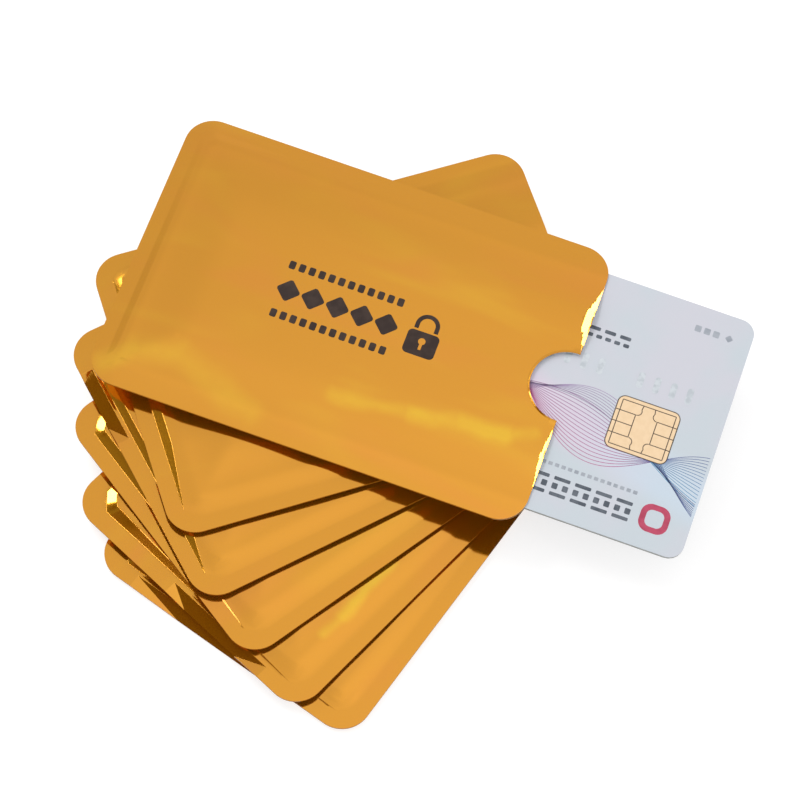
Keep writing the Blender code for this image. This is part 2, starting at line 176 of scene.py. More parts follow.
# Heights of ink and of the chip's plates over the face that carries them
INK_LIFT = 0.003 * MM
INK_THICKNESS = 0.006 * MM
TAPE_THICKNESS = 0.014 * MM
CONTACT_THICKNESS = 0.034 * MM

# The line art on the card: points, length, wavelength and width of a line, where its middle lies
# across the card, and how far it falls for its length
STRAND_POINTS = 160
STRAND_LENGTH = CARD_LENGTH - 1.2 * MM
STRAND_WAVE = 58 * MM
STRAND_WIDTH = 0.12 * MM
STRAND_MIDDLE = -0.9 * MM
STRAND_FALL = -0.25

# Painted highlights: soft yellow bands painted into the gold film's colour where light glances off it. Start
# and end on the sleeve and width to each side in millimetres, and strength
TOP_PAINTED_HIGHLIGHTS = (
    ((-43.0, -27.0), (-37.4, -22.7), 3.6, 0.55),
    ((-37.4, -22.7), (-29.9, -20.6), 4.4, 0.45),
    ((-29.9, -20.6), (-21.5, -23.6), 4.2, 0.40),
    ((-21.5, -23.6), (-12.0, -27.5), 4.6, 0.40),
    ((2.0, -18.4), (18.0, -16.6), 2.6, 0.50),
    ((18.0, -16.6), (28.0, -15.0), 3.0, 0.80),
    ((28.0, -15.0), (37.0, -13.7), 3.2, 0.95),
    ((37.0, -13.7), (42.0, -11.6), 2.4, 0.50),
)
# The fifth sleeve's painted highlight: the glint along a wrinkle in its pocket
FIFTH_PAINTED_HIGHLIGHTS = (((-30.5, -23.4), (-25.0, -24.0), 1.8, 0.60), ((-25.0, -24.0), (-11.0, -23.0), 2.3, 1.0))

# Small creases by the lower corners: middle, direction in degrees, length and width to each side,
# and height, in millimetres
PUCKERS = {
    4: ((-39.6, -26.4, -52, 1.6, 0.6, 0.03),),
    5: ((-39.4, -26.2, -59, 1.8, 0.6, 0.05),),
    6: (
        (-40.4, -24.2, 98, 1.8, 0.6, 0.05),
        (-38.8, -26.4, -27, 1.8, 0.6, 0.05),
    ),
}

# Where the sealed margin of the closed end droops: its upper and lower end in millimetres, how
# steeply the droop begins at each, and its slope
DROOPS = {
    3: (23.4, 6.6, 0.35, 0.16, 0.24),
    5: (4.5, -20.5, 0.12, 0.10, 0.24),
    6: (21.8, -19.0, 0.052, 0.10, 0.23),
}
DROOP_INSET = 2.6 * MM

# The camera, fitted to the edges of the top sleeve and the card
VIEW_AZIMUTH = 14.89
VIEW_ELEVATION = 66.69
VIEW_ROLL = 4.92
VIEW_DISTANCE = 567.5 * MM
VIEW_TARGET = Vector((1.10 * MM, 7.07 * MM, 0))
VIEW_LENS = 126.04

# Inputs of the forming tree, all of them numbers
FORMING_SIZES = (*FORMS["empty"], *FORMS_IN_COMMON, *FOLD_SIZES, *FOLD_SLOPES)
FORMING_SIZES += ("Offset", "Thickness", "Trim", "Side", "Web place")

# How the planes of a fold and of a pocket run into each other
SLANT_ENDS = (-2 * MM, 20 * MM)
SLOPE_TURN = 3 * MM
FOLD_SETTLES = 14 * MM
FOLD_ROUNDING = 0.15
MITRE_BLEND = 2.5 * MM
RAMP_ROUNDING = 0.25
LIP_CHANGE = 1 * MM
WELD = MM / 2000

# The metal films: streaks along the web, partly painted sheen, sway of the painted highlight bands, depths
# of relief, tones
STREAK_LENGTH = 46 * MM
STREAK_WIDTH = 13 * MM
BAND_SWAY = 2.4 * MM
SWAY_SCALE = 130.0
MOTTLE_SCALE = 260.0
FINE_SCALE = 2600.0
BLUSH_SHIFT = (3.7, 1.9, 5.3)
FOIL_GRAIN = 0.0002 * MM
GOLD_WAVE = 0.05 * MM
SHIELD_WAVE = 0.02 * MM
GOLD_TONES = ((0.66, 0.275, 0.003), (0.74, 0.415, 0.008), (0.69, 0.250, 0.012))
SHIELD_TONES = ((0.78, 0.78, 0.80), (0.84, 0.84, 0.84), (0.74, 0.75, 0.78))
GOLD_COAT = {"Metallic": 0.84, "Coat_Weight": 0.82, "Coat_Roughness": 0.06}

# Sheets and inks, by their names: two tones, roughness, scales of the clouds and of the grain, depth
# of the grain in millimetres, and what else is set on the shader
METAL = {"Metallic": 1.0}
DULL = {"Specular_IOR_Level": 0.3}
SATIN = {"Coat_Weight": 0.4, "Coat_Roughness": 0.12}
SHEETS = {
    "seal_film": ((0.80, 0.81, 0.78), (0.72, 0.73, 0.71), 0.40, 60, 2500, 0.002, {}),
    "card_overlay": ((0.585, 0.59, 0.655), (0.54, 0.60, 0.65), 0.30, 55, 4000, 0.0008, SATIN),
    # Dark grey-green core: partly the core's own grey, partly painted shade on the card's edges, which face
    # away from the light
    "card_core": ((0.36, 0.38, 0.36), (0.46, 0.47, 0.45), 0.55, 300, 5000, 0.002, {}),
    "card_inlay": ((0.62, 0.63, 0.60), (0.55, 0.56, 0.54), 0.50, 120, 3000, 0.002, {}),
    "contact_plating": ((0.88, 0.66, 0.43), (0.85, 0.63, 0.40), 0.30, 900, 5000, 0.003, METAL),
    "chip_tape": ((0.05, 0.035, 0.025), (0.09, 0.06, 0.04), 0.50, 900, 5000, 0.002, {}),
    "chip_potting": ((0.015, 0.015, 0.017), (0.03, 0.03, 0.032), 0.45, 500, 4000, 0.003, {}),
    "antenna_copper": ((0.75, 0.36, 0.20), (0.62, 0.28, 0.15), 0.32, 200, 4000, 0.002, METAL),
    "stripe_tape": ((0.018, 0.014, 0.012), (0.035, 0.028, 0.024), 0.35, 80, 3500, 0.001, {}),
    "brown_ink": ((0.026, 0.012, 0.008), (0.042, 0.023, 0.016), 0.45, 400, 5000, 0.002, DULL),
    "grey_ink": ((0.065, 0.080, 0.105), (0.12, 0.14, 0.17), 0.50, 500, 5000, 0.002, {}),
    "faint_ink": ((0.30, 0.33, 0.38), (0.38, 0.41, 0.46), 0.45, 500, 5000, 0.002, {}),
    "red_ink": ((0.40, 0.035, 0.085), (0.50, 0.055, 0.12), 0.40, 500, 5000, 0.002, {}),
    "silver_ink": ((0.50, 0.54, 0.58), (0.62, 0.66, 0.70), 0.28, 900, 5000, 0.002, {"Metallic": 0.6}),
}

# Inks of the line art: two tones near the sleeve, and two at the card's end
LINE_INKS = {
    "warm_line_ink": (((0.42, 0.07, 0.22), (0.26, 0.10, 0.26)), ((0.08, 0.10, 0.28), (0.06, 0.26, 0.46))),
    "cool_line_ink": (((0.22, 0.18, 0.30), (0.34, 0.24, 0.42)), ((0.08, 0.10, 0.24), (0.10, 0.14, 0.30))),
}

# Grain of that ink, and how far it blurs the change from the near tones to the far ones
INK_SCALE = 3000.0
INK_FRINGE = 0.06

# Bundles of lines on the card: name, ink, lines, amplitude and breadth in millimetres, first phase
# and spread of the phases
BUNDLES = (
    ("card_lines_warm", "warm_line_ink", 15, -2.2, 11.6, -0.30, 0.16),
    ("card_lines_cool", "cool_line_ink", 8, 5.4, 4.0, -0.22, -0.30),
)

# Rows of printed marks: name, ink, middle, number of marks, their pitch, length, width and corner
# radius, in millimetres, and their turn in degrees
SLEEVE_ROWS = (
    ("print_upper_dashes", "brown_ink", -3.4, 5.6, 12, 2.1, 1.35, 1.8, 0.35, 0),
    ("print_lower_dashes", "brown_ink", -3.4, -5.6, 12, 2.1, 1.35, 1.8, 0.35, 0),
    ("print_squares", "brown_ink", -3.4, 0, 5, 5.2, 3.7, 3.7, 0.6, 45),
)
CARD_ROWS = (
    ("card_date_upper", "grey_ink", 15.4, 14.6, 3, 3.2, 2.3, 0.8, 0.25, 0),
    ("card_date_lower", "grey_ink", 15.4, 13.0, 5, 1.9, 1.2, 0.8, 0.25, 0),
    ("card_small_bars", "faint_ink", 33.6, 21.9, 3, 1.9, 1.3, 1.4, 0.2, 0),
    ("card_arrow", "faint_ink", 38.2, 21.9, 1, 1.0, 1.2, 1.2, 0.2, 45),
    ("card_fine_dashes", "faint_ink", 19.6, -16.3, 17, 1.35, 0.85, 0.75, 0.1, 0),
    ("card_blocks_upper", "grey_ink", 18.3, -18.9, 6, 4.3, 3.3, 0.75, 0.2, 0),
    ("card_blocks_middle", "grey_ink", 18.3, -20.6, 12, 2.15, 1.15, 1.25, 0.2, 0),
    ("card_blocks_lower", "grey_ink", 18.3, -22.3, 6, 4.3, 3.3, 0.75, 0.2, 0),
    *(
        (f"card_silver_bars_{group + 1}", "silver_ink", -26.5 + group * 18.6, 7.0, 4, 3.4, 1.3, 3.6, 0.6, 0)
        for group in range(4)
    ),
)

# Finishes of the card's own solids that stay in view at its edges and its back. The cores' dark grey-green
# is partly their own grey and partly painted shade on the card's edges.
CARD_SOLIDS = {
    "card_back_overlay": "card_overlay",
    "card_back_core": "card_core",
    "card_antenna_inlay": "card_inlay",
    "card_antenna_coil": "antenna_copper",
    "card_front_core": "card_core",
    "card_chip_body": "chip_potting",
    "card_magnetic_stripe": "stripe_tape",
}

# Tones of the room over its even one. Each lies round a direction overhead, given by its lean along
# X and Y, and fades between two distances from it.
ROOM_TONE = (0.88, 0.88, 0.88)
ROOM_PATCHES = (
    (-0.26, 0.50, 0.06, 0.26, (0.76, 0.76, 0.76)),
    (-0.39, 0.385, 0.02, 0.05, (0.68, 0.68, 0.68)),
    (0.14, 0.18, 0.02, 0.45, (1.26, 1.26, 1.26)),
    (-0.42, 0.06, 0.14, 0.20, (0.27, 0.25, 0.10)),
    (-0.25, -0.03, 0.11, 0.16, (0.30, 0.18, 0.07)),
    (-0.32, -0.18, 0.08, 0.15, (0.11, 0.035, 0.01)),
    (-0.53, -0.01, 0.06, 0.13, (0.11, 0.035, 0.01)),
)

# Lamps: name, directions of both ends, breadth at one metre, distance in metres, and radiance
LAMPS = (
    ("key_light", (-0.40, 0.42), (0.25, 0.42), 0.60, 1.0, 0.08),
    ("edge_light", (-0.46, 0.17), (-0.285, -0.005), 0.035, 0.8, 6.0),
    ("side_light", (-0.585, 0.12), (-0.52, 0.68), 0.11, 3.0, 14.0),
)

# The table top: its side in metres, its two tones, and how much it is lifted where it is seen
FLOOR_SIDE = 6.0
FLOOR_TONES = ((0.41, 0.41, 0.41), (0.43, 0.43, 0.43))
FLOOR_LIFT = 0.70


# Small tools

class Value:
    """A number or vector in a node tree, which takes plain arithmetic."""

    def __init__(self, tree, socket):
        self.tree = tree
        self.socket = socket

    def math(self, operation, *others):
        return calc(self.tree, operation, self, *others)

    def __add__(self, other):
        return self.math("ADD", other)

    def __sub__(self, other):
        return self.math("SUBTRACT", other)

    def __rsub__(self, other):
        return calc(self.tree, "SUBTRACT", other, self)

    def __mul__(self, other):
        return self.math("MULTIPLY", other)

    def __truediv__(self, other):
        return self.math("DIVIDE", other)

    def __abs__(self):
        return self.math("ABSOLUTE")


def put(value, target):
    """Links a value to an input socket, or sets the socket to a plain one."""
    source = value.socket if isinstance(value, Value) else value
    if isinstance(source, bpy.types.NodeSocket):
        target.id_data.links.new(source, target)
    else:
        target.default_value = source


def add_node(tree, kind, inputs=None, **settings):
    """Adds a node. Each of its inputs takes a value of the tree, which is linked, or a plain one."""
    node = tree.nodes.new(kind)
    for name, value in settings.items():
        setattr(node, name, value)
    for key, value in (inputs or {}).items():
        put(value, node.inputs[key])
    return node


def value_of(tree, kind, inputs=None, output=0, **settings):
    """One output of a new node."""
    return Value(tree, add_node(tree, kind, inputs, **settings).outputs[output])


def calc(tree, operation, *values):
    """Result of a Math node."""
    return value_of(tree, "ShaderNodeMath", dict(enumerate(values)), operation=operation)


def vector_calc(tree, operation, *values, output="Vector"):
    """Result of a Vector Math node."""
    return value_of(tree, "ShaderNodeVectorMath", dict(enumerate(values)), output, operation=operation)


def combined(tree, x=0.0, y=0.0, z=0.0):
    """Vector of three numbers."""
    return value_of(tree, "ShaderNodeCombineXYZ", {0: x, 1: y, 2: z})


def parts_of(tree, vector):
    """The three numbers of a vector."""
    return [Value(tree, part) for part in add_node(tree, "ShaderNodeSeparateXYZ", {0: vector}).outputs]


def eased(tree, value, start, end, low=0.0, high=1.0, way="SMOOTHSTEP"):
    """The value taken from start..end to low..high, with an eased beginning and end."""
    inputs = {"Value": value, "From Min": start, "From Max": end, "To Min": low, "To Max": high}
    return value_of(tree, "ShaderNodeMapRange", inputs, interpolation_type=way)


def noise(tree, place, scale, detail=2.0, distortion=0.0, output=0):
    """Noise over a place."""
    inputs = {"Vector": place, "Scale": scale, "Detail": detail, "Distortion": distortion}
    return value_of(tree, "ShaderNodeTexNoise", inputs, output)


def mix_colours(tree, factor, first, second):
    """Colour that goes from the first to the second with the factor."""
    node = add_node(tree, "ShaderNodeMix", data_type="RGBA")
    put(factor, node.inputs[0])
    for colour, target in ((first, node.inputs[6]), (second, node.inputs[7])):
        put((*colour, 1) if isinstance(colour, tuple) else colour, target)
    return Value(tree, node.outputs[2])


def new_tree(name, kind, inputs, outputs):
    """A node tree, the values that it is given, and the sockets that it fills, all named by their kind."""
    tree = bpy.data.node_groups.new(name, kind)
    for in_out, kinds in (("INPUT", inputs), ("OUTPUT", outputs)):
        for socket_kind, names in kinds.items():
            for socket_name in names:
                tree.interface.new_socket(socket_name, in_out=in_out, socket_type="NodeSocket" + socket_kind)
    given = {socket.name: Value(tree, socket) for socket in tree.nodes.new("NodeGroupInput").outputs}
    return tree, given, tree.nodes.new("NodeGroupOutput").inputs


def new_object(name, data):
    made = bpy.data.objects.new(name, data)
    bpy.context.collection.objects.link(made)
    return made


def grown_mesh(tree, source, values):
    """Plain mesh that a geometry tree makes from a source mesh and these named inputs."""
    holder = new_object(tree.name + " source", source)
    modifier = holder.modifiers.new(tree.name, "NODES")
    modifier.node_group = tree
    for socket in tree.interface.items_tree:
        if socket.name in values:
            modifier[socket.identifier] = values[socket.name]
    graph = bpy.context.evaluated_depsgraph_get()
    mesh = bpy.data.meshes.new_from_object(
        holder.evaluated_get(graph), preserve_all_data_layers=True, depsgraph=graph
    )
    bpy.data.objects.remove(holder)
    return mesh


def faced_outwards(mesh, sharp_angle=SHARP_ANGLE):
    """Turns every face of closed shells outwards, and shades them smooth but for sharp edges."""
    shape = bmesh.new()
    shape.from_mesh(mesh)
    bmesh.ops.recalc_face_normals(shape, faces=shape.faces)
    shape.to_mesh(mesh)
    shape.free()
    mesh.shade_smooth()
    mesh.set_sharp_from_angle(angle=math.radians(sharp_angle))
    return mesh


def add_piece(name, mesh, body, place, finish=None, replaces=()):
    """Puts a mesh at its place as a finished piece of one body."""
    mesh.transform(place)
    mesh.name = name
    if finish:
        mesh.materials.clear()
        mesh.materials.append(finish)
    piece = new_object(name, mesh)
    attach(piece, body)
    if replaces:
        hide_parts(*replaces)
    return piece


def smooth(share):
    """Share from 0 to 1 with an eased beginning and end."""
    share = min(max(share, 0.0), 1.0)
    return share * share * (3 - 2 * share)


def arc(centre, radius, start, end, steps):
    """Points of an arc, its angles in degrees and both ends included."""
    angles = [math.radians(start + (end - start) * step / steps) for step in range(steps + 1)]
    return [Vector((centre[0] + radius * math.cos(a), centre[1] + radius * math.sin(a))) for a in angles]


def rounded_rectangle(length, width, radius, middle=(0, 0), steps=CORNER_POINTS):
    """Anticlockwise outline of a rectangle with round corners."""
    across, up = length / 2 - radius, width / 2 - radius
    outline = []
    for quarter, (side, rise) in enumerate(((1, 1), (-1, 1), (-1, -1), (1, -1))):
        centre = (middle[0] + side * across, middle[1] + rise * up)
        outline += arc(centre, radius, 90 * quarter, 90 * quarter + 90, steps)
    return outline


def evenly(line, step, closed=False):
    """The same line with points added, so that none lie further apart than the step."""
    result = []
    ends = line[1:] + line[:1] if closed else line[1:]
    for start, end in zip(line, ends):
        count = max(1, math.ceil((end - start).length / step))
        result += [start.lerp(end, share / count) for share in range(count)]
    return result if closed else result + line[-1:]


def flat_net(outline, holes=(), lines=(), points=()):
    """Points and triangles of a flat sheet inside the outline and outside every hole. Loops are
    anticlockwise, holes may overlap, and each line becomes a row of edges in the net."""
    corners, edges, loops = [], [], []
    for loop in (outline, *holes):
        loops.append(list(range(len(corners), len(corners) + len(loop))))
        corners += loop
    for line in lines:
        first = len(corners)
        corners += line
        edges += [(i, i + 1) for i in range(first, len(corners) - 1)]
    corners += points
    whole_hull, weld = 0, MM / 10000
    found = delaunay_2d_cdt(corners, edges, loops, whole_hull, weld)
    kept = [face for face, inside in zip(found[2], found[5]) if list(inside) == [0]]
    used = sorted({corner for face in kept for corner in face})
    index = {old: new for new, old in enumerate(used)}
    return [found[0][old] for old in used], [[index[corner] for corner in face] for face in kept]


def pucker_lift(x, y, puckers):
    """Height that the puckers add to a point of a sheet."""
    lift = 0.0
    for middle_x, middle_y, direction, length, width, height in puckers:
        turn = math.radians(direction)
        away_x, away_y = x - middle_x * MM, y - middle_y * MM
        along = abs(away_x * math.cos(turn) + away_y * math.sin(turn)) / (length * MM)
        across = abs(away_y * math.cos(turn) - away_x * math.sin(turn)) / (width * MM)
        lift = max(lift, height * MM * max(0.0, 1 - along) * max(0.0, 1 - across))
    return lift


def droop_drop(x, y, droop):
    """Height that a drooping margin takes from a point of a sheet: the least of three planes."""
    upper, lower, upper_slope, lower_slope, slope = droop
    past_crease = DROOP_INSET - SLEEVE_LENGTH / 2 - x
    drop = min(upper_slope * (upper * MM - y), lower_slope * (y - lower * MM), slope * past_crease)
    return max(drop, 0.0)


def net_mesh(name, net, puckers=(), droop=None):
    """Flat mesh of a net, at height zero, that notes the lift of its creases."""
    mesh = bpy.data.meshes.new(name)
    mesh.from_pydata([(x, y, 0) for x, y in net[0]], [], net[1])
    crease = mesh.attributes.new("crease", "FLOAT", "POINT")
    for point, (x, y) in zip(crease.data, net[0]):
        drop = droop_drop(x, y, droop) if droop else 0.0
        point.value = pucker_lift(x, y, puckers) - drop
    return mesh


def slab_mesh(name, net, low, high):
    """Closed slab over a net between two heights."""
    flat, triangles = net
    count = len(flat)
    sides = {(face[i], face[i - 2]) for face in triangles for i in range(3)}
    border = [side for side in sorted(sides) if (side[1], side[0]) not in sides]
    points = [(x, y, low) for x, y in flat] + [(x, y, high) for x, y in flat]
    faces = [face[::-1] for face in triangles]
    faces += [[corner + count for corner in face] for face in triangles]
    faces += [[a, b, b + count, a + count] for a, b in border]
    mesh = bpy.data.meshes.new(name)
    mesh.from_pydata(points, [], faces)
    mesh.update()
    mesh.shade_smooth()
    mesh.set_sharp_from_angle(angle=math.radians(SHARP_ANGLE))
    return mesh


def note_place(mesh):
    """Notes every point's place before the mesh is moved, for materials that follow the sheet."""
    noted = mesh.attributes.new("flat_place", "FLOAT_VECTOR", "POINT")
    for point, vertex in zip(noted.data, mesh.vertices):
        point.vector = vertex.co


def bar(start, end, width):
    """Anticlockwise outline of a straight bar between two points."""
    start, end = Vector(start), Vector(end)
    along = (end - start).normalized()
    side = Vector((-along.y, along.x)) * width / 2
    return [start - side, end - side, end + side, start + side]


# Shader groups

def painted_highlight_band_group():
    """Share of a soft band along a straight line on the sheet, strongest on the line: the mask of a painted
    highlight.
    """
    inputs = {"Vector": ("Place", "Start", "End"), "Float": ("Width",)}
    tree, given, made = new_tree("painted highlight band", "ShaderNodeTree", inputs, {"Float": ("Share",)})
    flat = vector_calc(tree, "MULTIPLY", given["Place"], (1, 1, 0))
    from_start = vector_calc(tree, "SUBTRACT", flat, given["Start"])
    line = vector_calc(tree, "SUBTRACT", given["End"], given["Start"])
    reach = vector_calc(tree, "DOT_PRODUCT", from_start, line, output="Value")
    square = vector_calc(tree, "DOT_PRODUCT", line, line, output="Value")
    on_line = (reach / square).math("MAXIMUM", 0.0).math("MINIMUM", 1.0)
    nearest = value_of(tree, "ShaderNodeVectorMath", {0: line, "Scale": on_line}, operation="SCALE")
    distance = vector_calc(tree, "DISTANCE", from_start, nearest, output="Value")
    put(eased(tree, distance, 0.0, given["Width"], 1.0, 0.0), made["Share"])
    return tree


def foil_and_sheen_group():
    """Metal film: yellow and rose streaks along the web, partly the film's own tone and partly painted
    sheen, a slow wave and a fine grain.
    """
    numbers = ("Streak length", "Streak width", "Painted highlight share", "Roughness", "Roughness spread")
    inputs = {"Vector": ("Place",), "Color": ("Base", "Yellow", "Rose"), "Float": numbers}
    outputs = {"Color": ("Colour",), "Float": ("Roughness", "Wave", "Grain")}
    tree, given, made = new_tree("foil with painted sheen", "ShaderNodeTree", inputs, outputs)
    place = given["Place"]
    along, across, layer = parts_of(tree, place)
    web = combined(tree, along / given["Streak length"], across / given["Streak width"], layer)
    # Streaks along the web: partly the film's own tone, partly painted sheen
    streak = noise(tree, web, 1.0, 2.0, 0.6)
    blush = noise(tree, vector_calc(tree, "ADD", web, BLUSH_SHIFT), 1.4, 1.0, 0.4)
    # Painted highlight bands, mottled by a noise, push the colour towards the yellow tone
    mottled_highlight = given["Painted highlight share"] * (noise(tree, place, MOTTLE_SCALE) + 0.5)
    yellow_share = (eased(tree, streak, 0.50, 0.80, 0.0, 0.40) + mottled_highlight).math("MINIMUM", 1.0)
    yellowed = mix_colours(tree, yellow_share, given["Base"], given["Yellow"])
    rose_share = eased(tree, blush, 0.50, 0.80, 0.0, 0.6)
    fine = noise(tree, place, FINE_SCALE)
    put(mix_colours(tree, rose_share, yellowed, given["Rose"]), made["Colour"])
    put(fine * given["Roughness spread"] + given["Roughness"], made["Roughness"])
    put(noise(tree, web, 0.9, 1.5), made["Wave"])
    put(fine, made["Grain"])
    return tree


def speckle_group():
    """Cast or printed surface: two tones in soft clouds, and a fine grain for roughness and relief."""
    numbers = ("Cloud scale", "Grain scale", "Roughness", "Roughness spread")
    inputs = {"Vector": ("Place",), "Color": ("First tone", "Second tone"), "Float": numbers}
    outputs = {"Color": ("Colour",), "Float": ("Roughness", "Grain")}
    tree, given, made = new_tree("speckled sheet", "ShaderNodeTree", inputs, outputs)
    share = eased(tree, noise(tree, given["Place"], given["Cloud scale"], 3.0), 0.35, 0.65)
    grain = noise(tree, given["Place"], given["Grain scale"])
    put(mix_colours(tree, share, given["First tone"], given["Second tone"]), made["Colour"])
    put(grain * given["Roughness spread"] + given["Roughness"], made["Roughness"])
    put(grain, made["Grain"])
    return tree


# Materials

def new_material(name, **constants):
    """Material with a Principled shader, whose named constants are set on it."""
    made = bpy.data.materials.new(name)
    made.use_nodes = True
    shader = made.node_tree.nodes["Principled BSDF"]
    for key, value in constants.items():
        shader.inputs[key.replace("_", " ")].default_value = value
    return made, made.node_tree, shader


def place_of(tree, attribute=None):
    """The piece's own attribute, or its Object coordinates."""
    if attribute:
        return value_of(tree, "ShaderNodeAttribute", output="Vector", attribute_name=attribute)
    return value_of(tree, "ShaderNodeTexCoord", output="Object")


def add_group(tree, shader, group, inputs):
    """A shader group that gives the shader its colour and its roughness."""
    made = add_node(tree, "ShaderNodeGroup", inputs, node_tree=group).outputs
    put(made["Colour"], shader.inputs["Base Color"])
    put(made["Roughness"], shader.inputs["Roughness"])
    return made


def add_bump(tree, shader, height, depth, below=None):
    """A Bump node of this depth, on top of the normal of another one."""
    inputs = {"Height": height, "Distance": depth, "Strength": 1.0}
    if below:
        inputs["Normal"] = below
    bump = value_of(tree, "ShaderNodeBump", inputs)
    put(bump, shader.inputs["Normal"])
    return bump


def painted_highlight_share(tree, place, group, bands):
    """How strongly the painted highlights, soft yellow bands, show at a place, with a little sway in their
    lines.
    """
    if not bands:
        return 0.0
    cloud = noise(tree, place, SWAY_SCALE, 1.0, output="Color")
    sway = vector_calc(tree, "SUBTRACT", cloud, (0.5, 0.5, 0.5))
    swayed = vector_calc(tree, "ADD", place, vector_calc(tree, "MULTIPLY", sway, (BAND_SWAY, BAND_SWAY, 0)))
    share = 0.0
    for start, end, width, strength in bands:
        inputs = {"Place": swayed, "Width": width * MM}
        inputs.update({key: (x * MM, y * MM, 0) for key, (x, y) in (("Start", start), ("End", end))})
        band = value_of(tree, "ShaderNodeGroup", inputs, node_tree=group)
        share = (band * strength).math("MAXIMUM", share)
    return share


def foil_material(name, groups, tones, roughness, wave_depth, bands=(), **constants):
    """Finish of a metal film, with its base, yellow and rose tones and its own painted highlights, soft
    yellow bands.
    """
    made, tree, shader = new_material(name, **constants)
    place = place_of(tree, "flat_place")
    share = painted_highlight_share(tree, place, groups["band"], bands)
    inputs = {"Place": place, "Painted highlight share": share, "Roughness": roughness, "Roughness spread": 0.04}
    inputs.update({"Streak length": STREAK_LENGTH, "Streak width": STREAK_WIDTH})
    inputs.update({key: (*tone, 1) for key, tone in zip(("Base", "Yellow", "Rose"), tones)})
    foil = add_group(tree, shader, groups["foil"], inputs)
    wave = add_bump(tree, shader, foil["Wave"], wave_depth)
    add_bump(tree, shader, foil["Grain"], FOIL_GRAIN, wave)
    return made


def sheet_material(group, name, first, second, roughness, cloud_scale, grain_scale, grain, constants):
    """Finish of a cast or printed sheet, with the depth of its grain in millimetres."""
    made, tree, shader = new_material(name, **constants)
    inputs = {"Place": place_of(tree), "First tone": (*first, 1), "Second tone": (*second, 1)}
    inputs.update({"Cloud scale": cloud_scale, "Grain scale": grain_scale})
    inputs.update({"Roughness": roughness, "Roughness spread": 0.08})
    sheet = add_group(tree, shader, group, inputs)
    add_bump(tree, shader, sheet["Grain"], grain * MM)
    return made


def strand_material(name, near, far):
    """Ink of a bundle of lines, with two tones near the sleeve and two at the card's end."""
    made, tree, shader = new_material(name, Roughness=0.45)
    along = value_of(tree, "ShaderNodeAttribute", output="Fac", attribute_name="along_share")
    strand = value_of(tree, "ShaderNodeAttribute", output="Fac", attribute_name="strand_share")
    share = along + (noise(tree, place_of(tree), INK_SCALE) - 0.5) * INK_FRINGE
    tones = [mix_colours(tree, strand, *pair) for pair in (near, far)]
    put(mix_colours(tree, eased(tree, share, 0.78, 0.90), *tones), shader.inputs["Base Color"])
    return made


def wash_card_face(card_face):
    """Adds a rose and blue wash round the line art to the card's printed face."""
    tree = card_face.node_tree
    base = tree.nodes["Principled BSDF"].inputs["Base Color"]
    x, y, _ = parts_of(tree, place_of(tree, "flat_place"))
    from_art = abs(y - x * STRAND_FALL + 3 * MM)
    share = eased(tree, from_art, 2 * MM, 8 * MM, 0.6, 0.0)
    wash = mix_colours(tree, eased(tree, x, 12 * MM, 34 * MM), (0.72, 0.57, 0.71), (0.55, 0.66, 0.78))
    put(mix_colours(tree, share, base.links[0].from_socket, wash), base)


def make_materials():
    groups = {"foil": foil_and_sheen_group(), "band": painted_highlight_band_group()}
    speckle = speckle_group()
    finishes = {}
    # The top and the fifth sleeve's gold films carry painted highlights
    for key, name, roughness, bands in (
        ("gold", "gold_film", 0.07, ()),
        ("gold_1", "gold_film_top_painted_highlights", 0.08, TOP_PAINTED_HIGHLIGHTS),
        ("gold_5", "gold_film_fifth_painted_highlight", 0.07, FIFTH_PAINTED_HIGHLIGHTS),
    ):
        finishes[key] = foil_material(name, groups, GOLD_TONES, roughness, GOLD_WAVE, bands, **GOLD_COAT)
    finishes["shield"] = foil_material("shield_foil", groups, SHIELD_TONES, 0.25, SHIELD_WAVE, Metallic=1.0)
    for name, sheet in SHEETS.items():
        finishes[name] = sheet_material(speckle, name, *sheet)
    wash_card_face(finishes["card_overlay"])
    for name, tones in LINE_INKS.items():
        finishes[name] = strand_material(name, *tones)
    return finishes


# Geometry trees

def noted(tree, geometry, name, value, data_type="FLOAT"):
    """Geometry with a value noted at each point under this name."""
    inputs = {"Geometry": geometry, "Name": name, "Value": value}
    return value_of(tree, "GeometryNodeStoreNamedAttribute", inputs, data_type=data_type, domain="POINT")


def rectangle(tree, width, height):
    """Closed curve of a rectangle."""
    sizes = {"Width": width, "Height": height}
    return value_of(tree, "GeometryNodeCurvePrimitiveQuadrilateral", sizes, mode="RECTANGLE")


def finish_tree(tree, geometry, finish, output):
    """Ends a tree: copies made real, and the finish set."""
    real = value_of(tree, "GeometryNodeRealizeInstances", {"Geometry": geometry})
    put(value_of(tree, "GeometryNodeSetMaterial", {"Geometry": real, "Material": finish}), output)


def thicken_tree():
    """Closed sheet that stands on an open surface, this thick along +Z."""
    inputs = {"Geometry": ("Mesh",), "Float": ("Thickness",)}
    tree, given, made = new_tree("thicken", "GeometryNodeTree", inputs, {"Geometry": ("Mesh",)})
    upwards = {"Mesh": given["Mesh"], "Offset": (0, 0, 1), "Offset Scale": given["Thickness"]}
    upwards["Individual"] = False
    both = add_node(tree, "GeometryNodeJoinGeometry")
    put(value_of(tree, "GeometryNodeExtrudeMesh", upwards, "Mesh", mode="FACES"), both.inputs[0])
    put(value_of(tree, "GeometryNodeFlipFaces", {"Mesh": given["Mesh"]}), both.inputs[0])
    weld = {"Geometry": both.outputs[0], "Distance": WELD}
    put(value_of(tree, "GeometryNodeMergeByDistance", weld), made["Mesh"])
    return tree


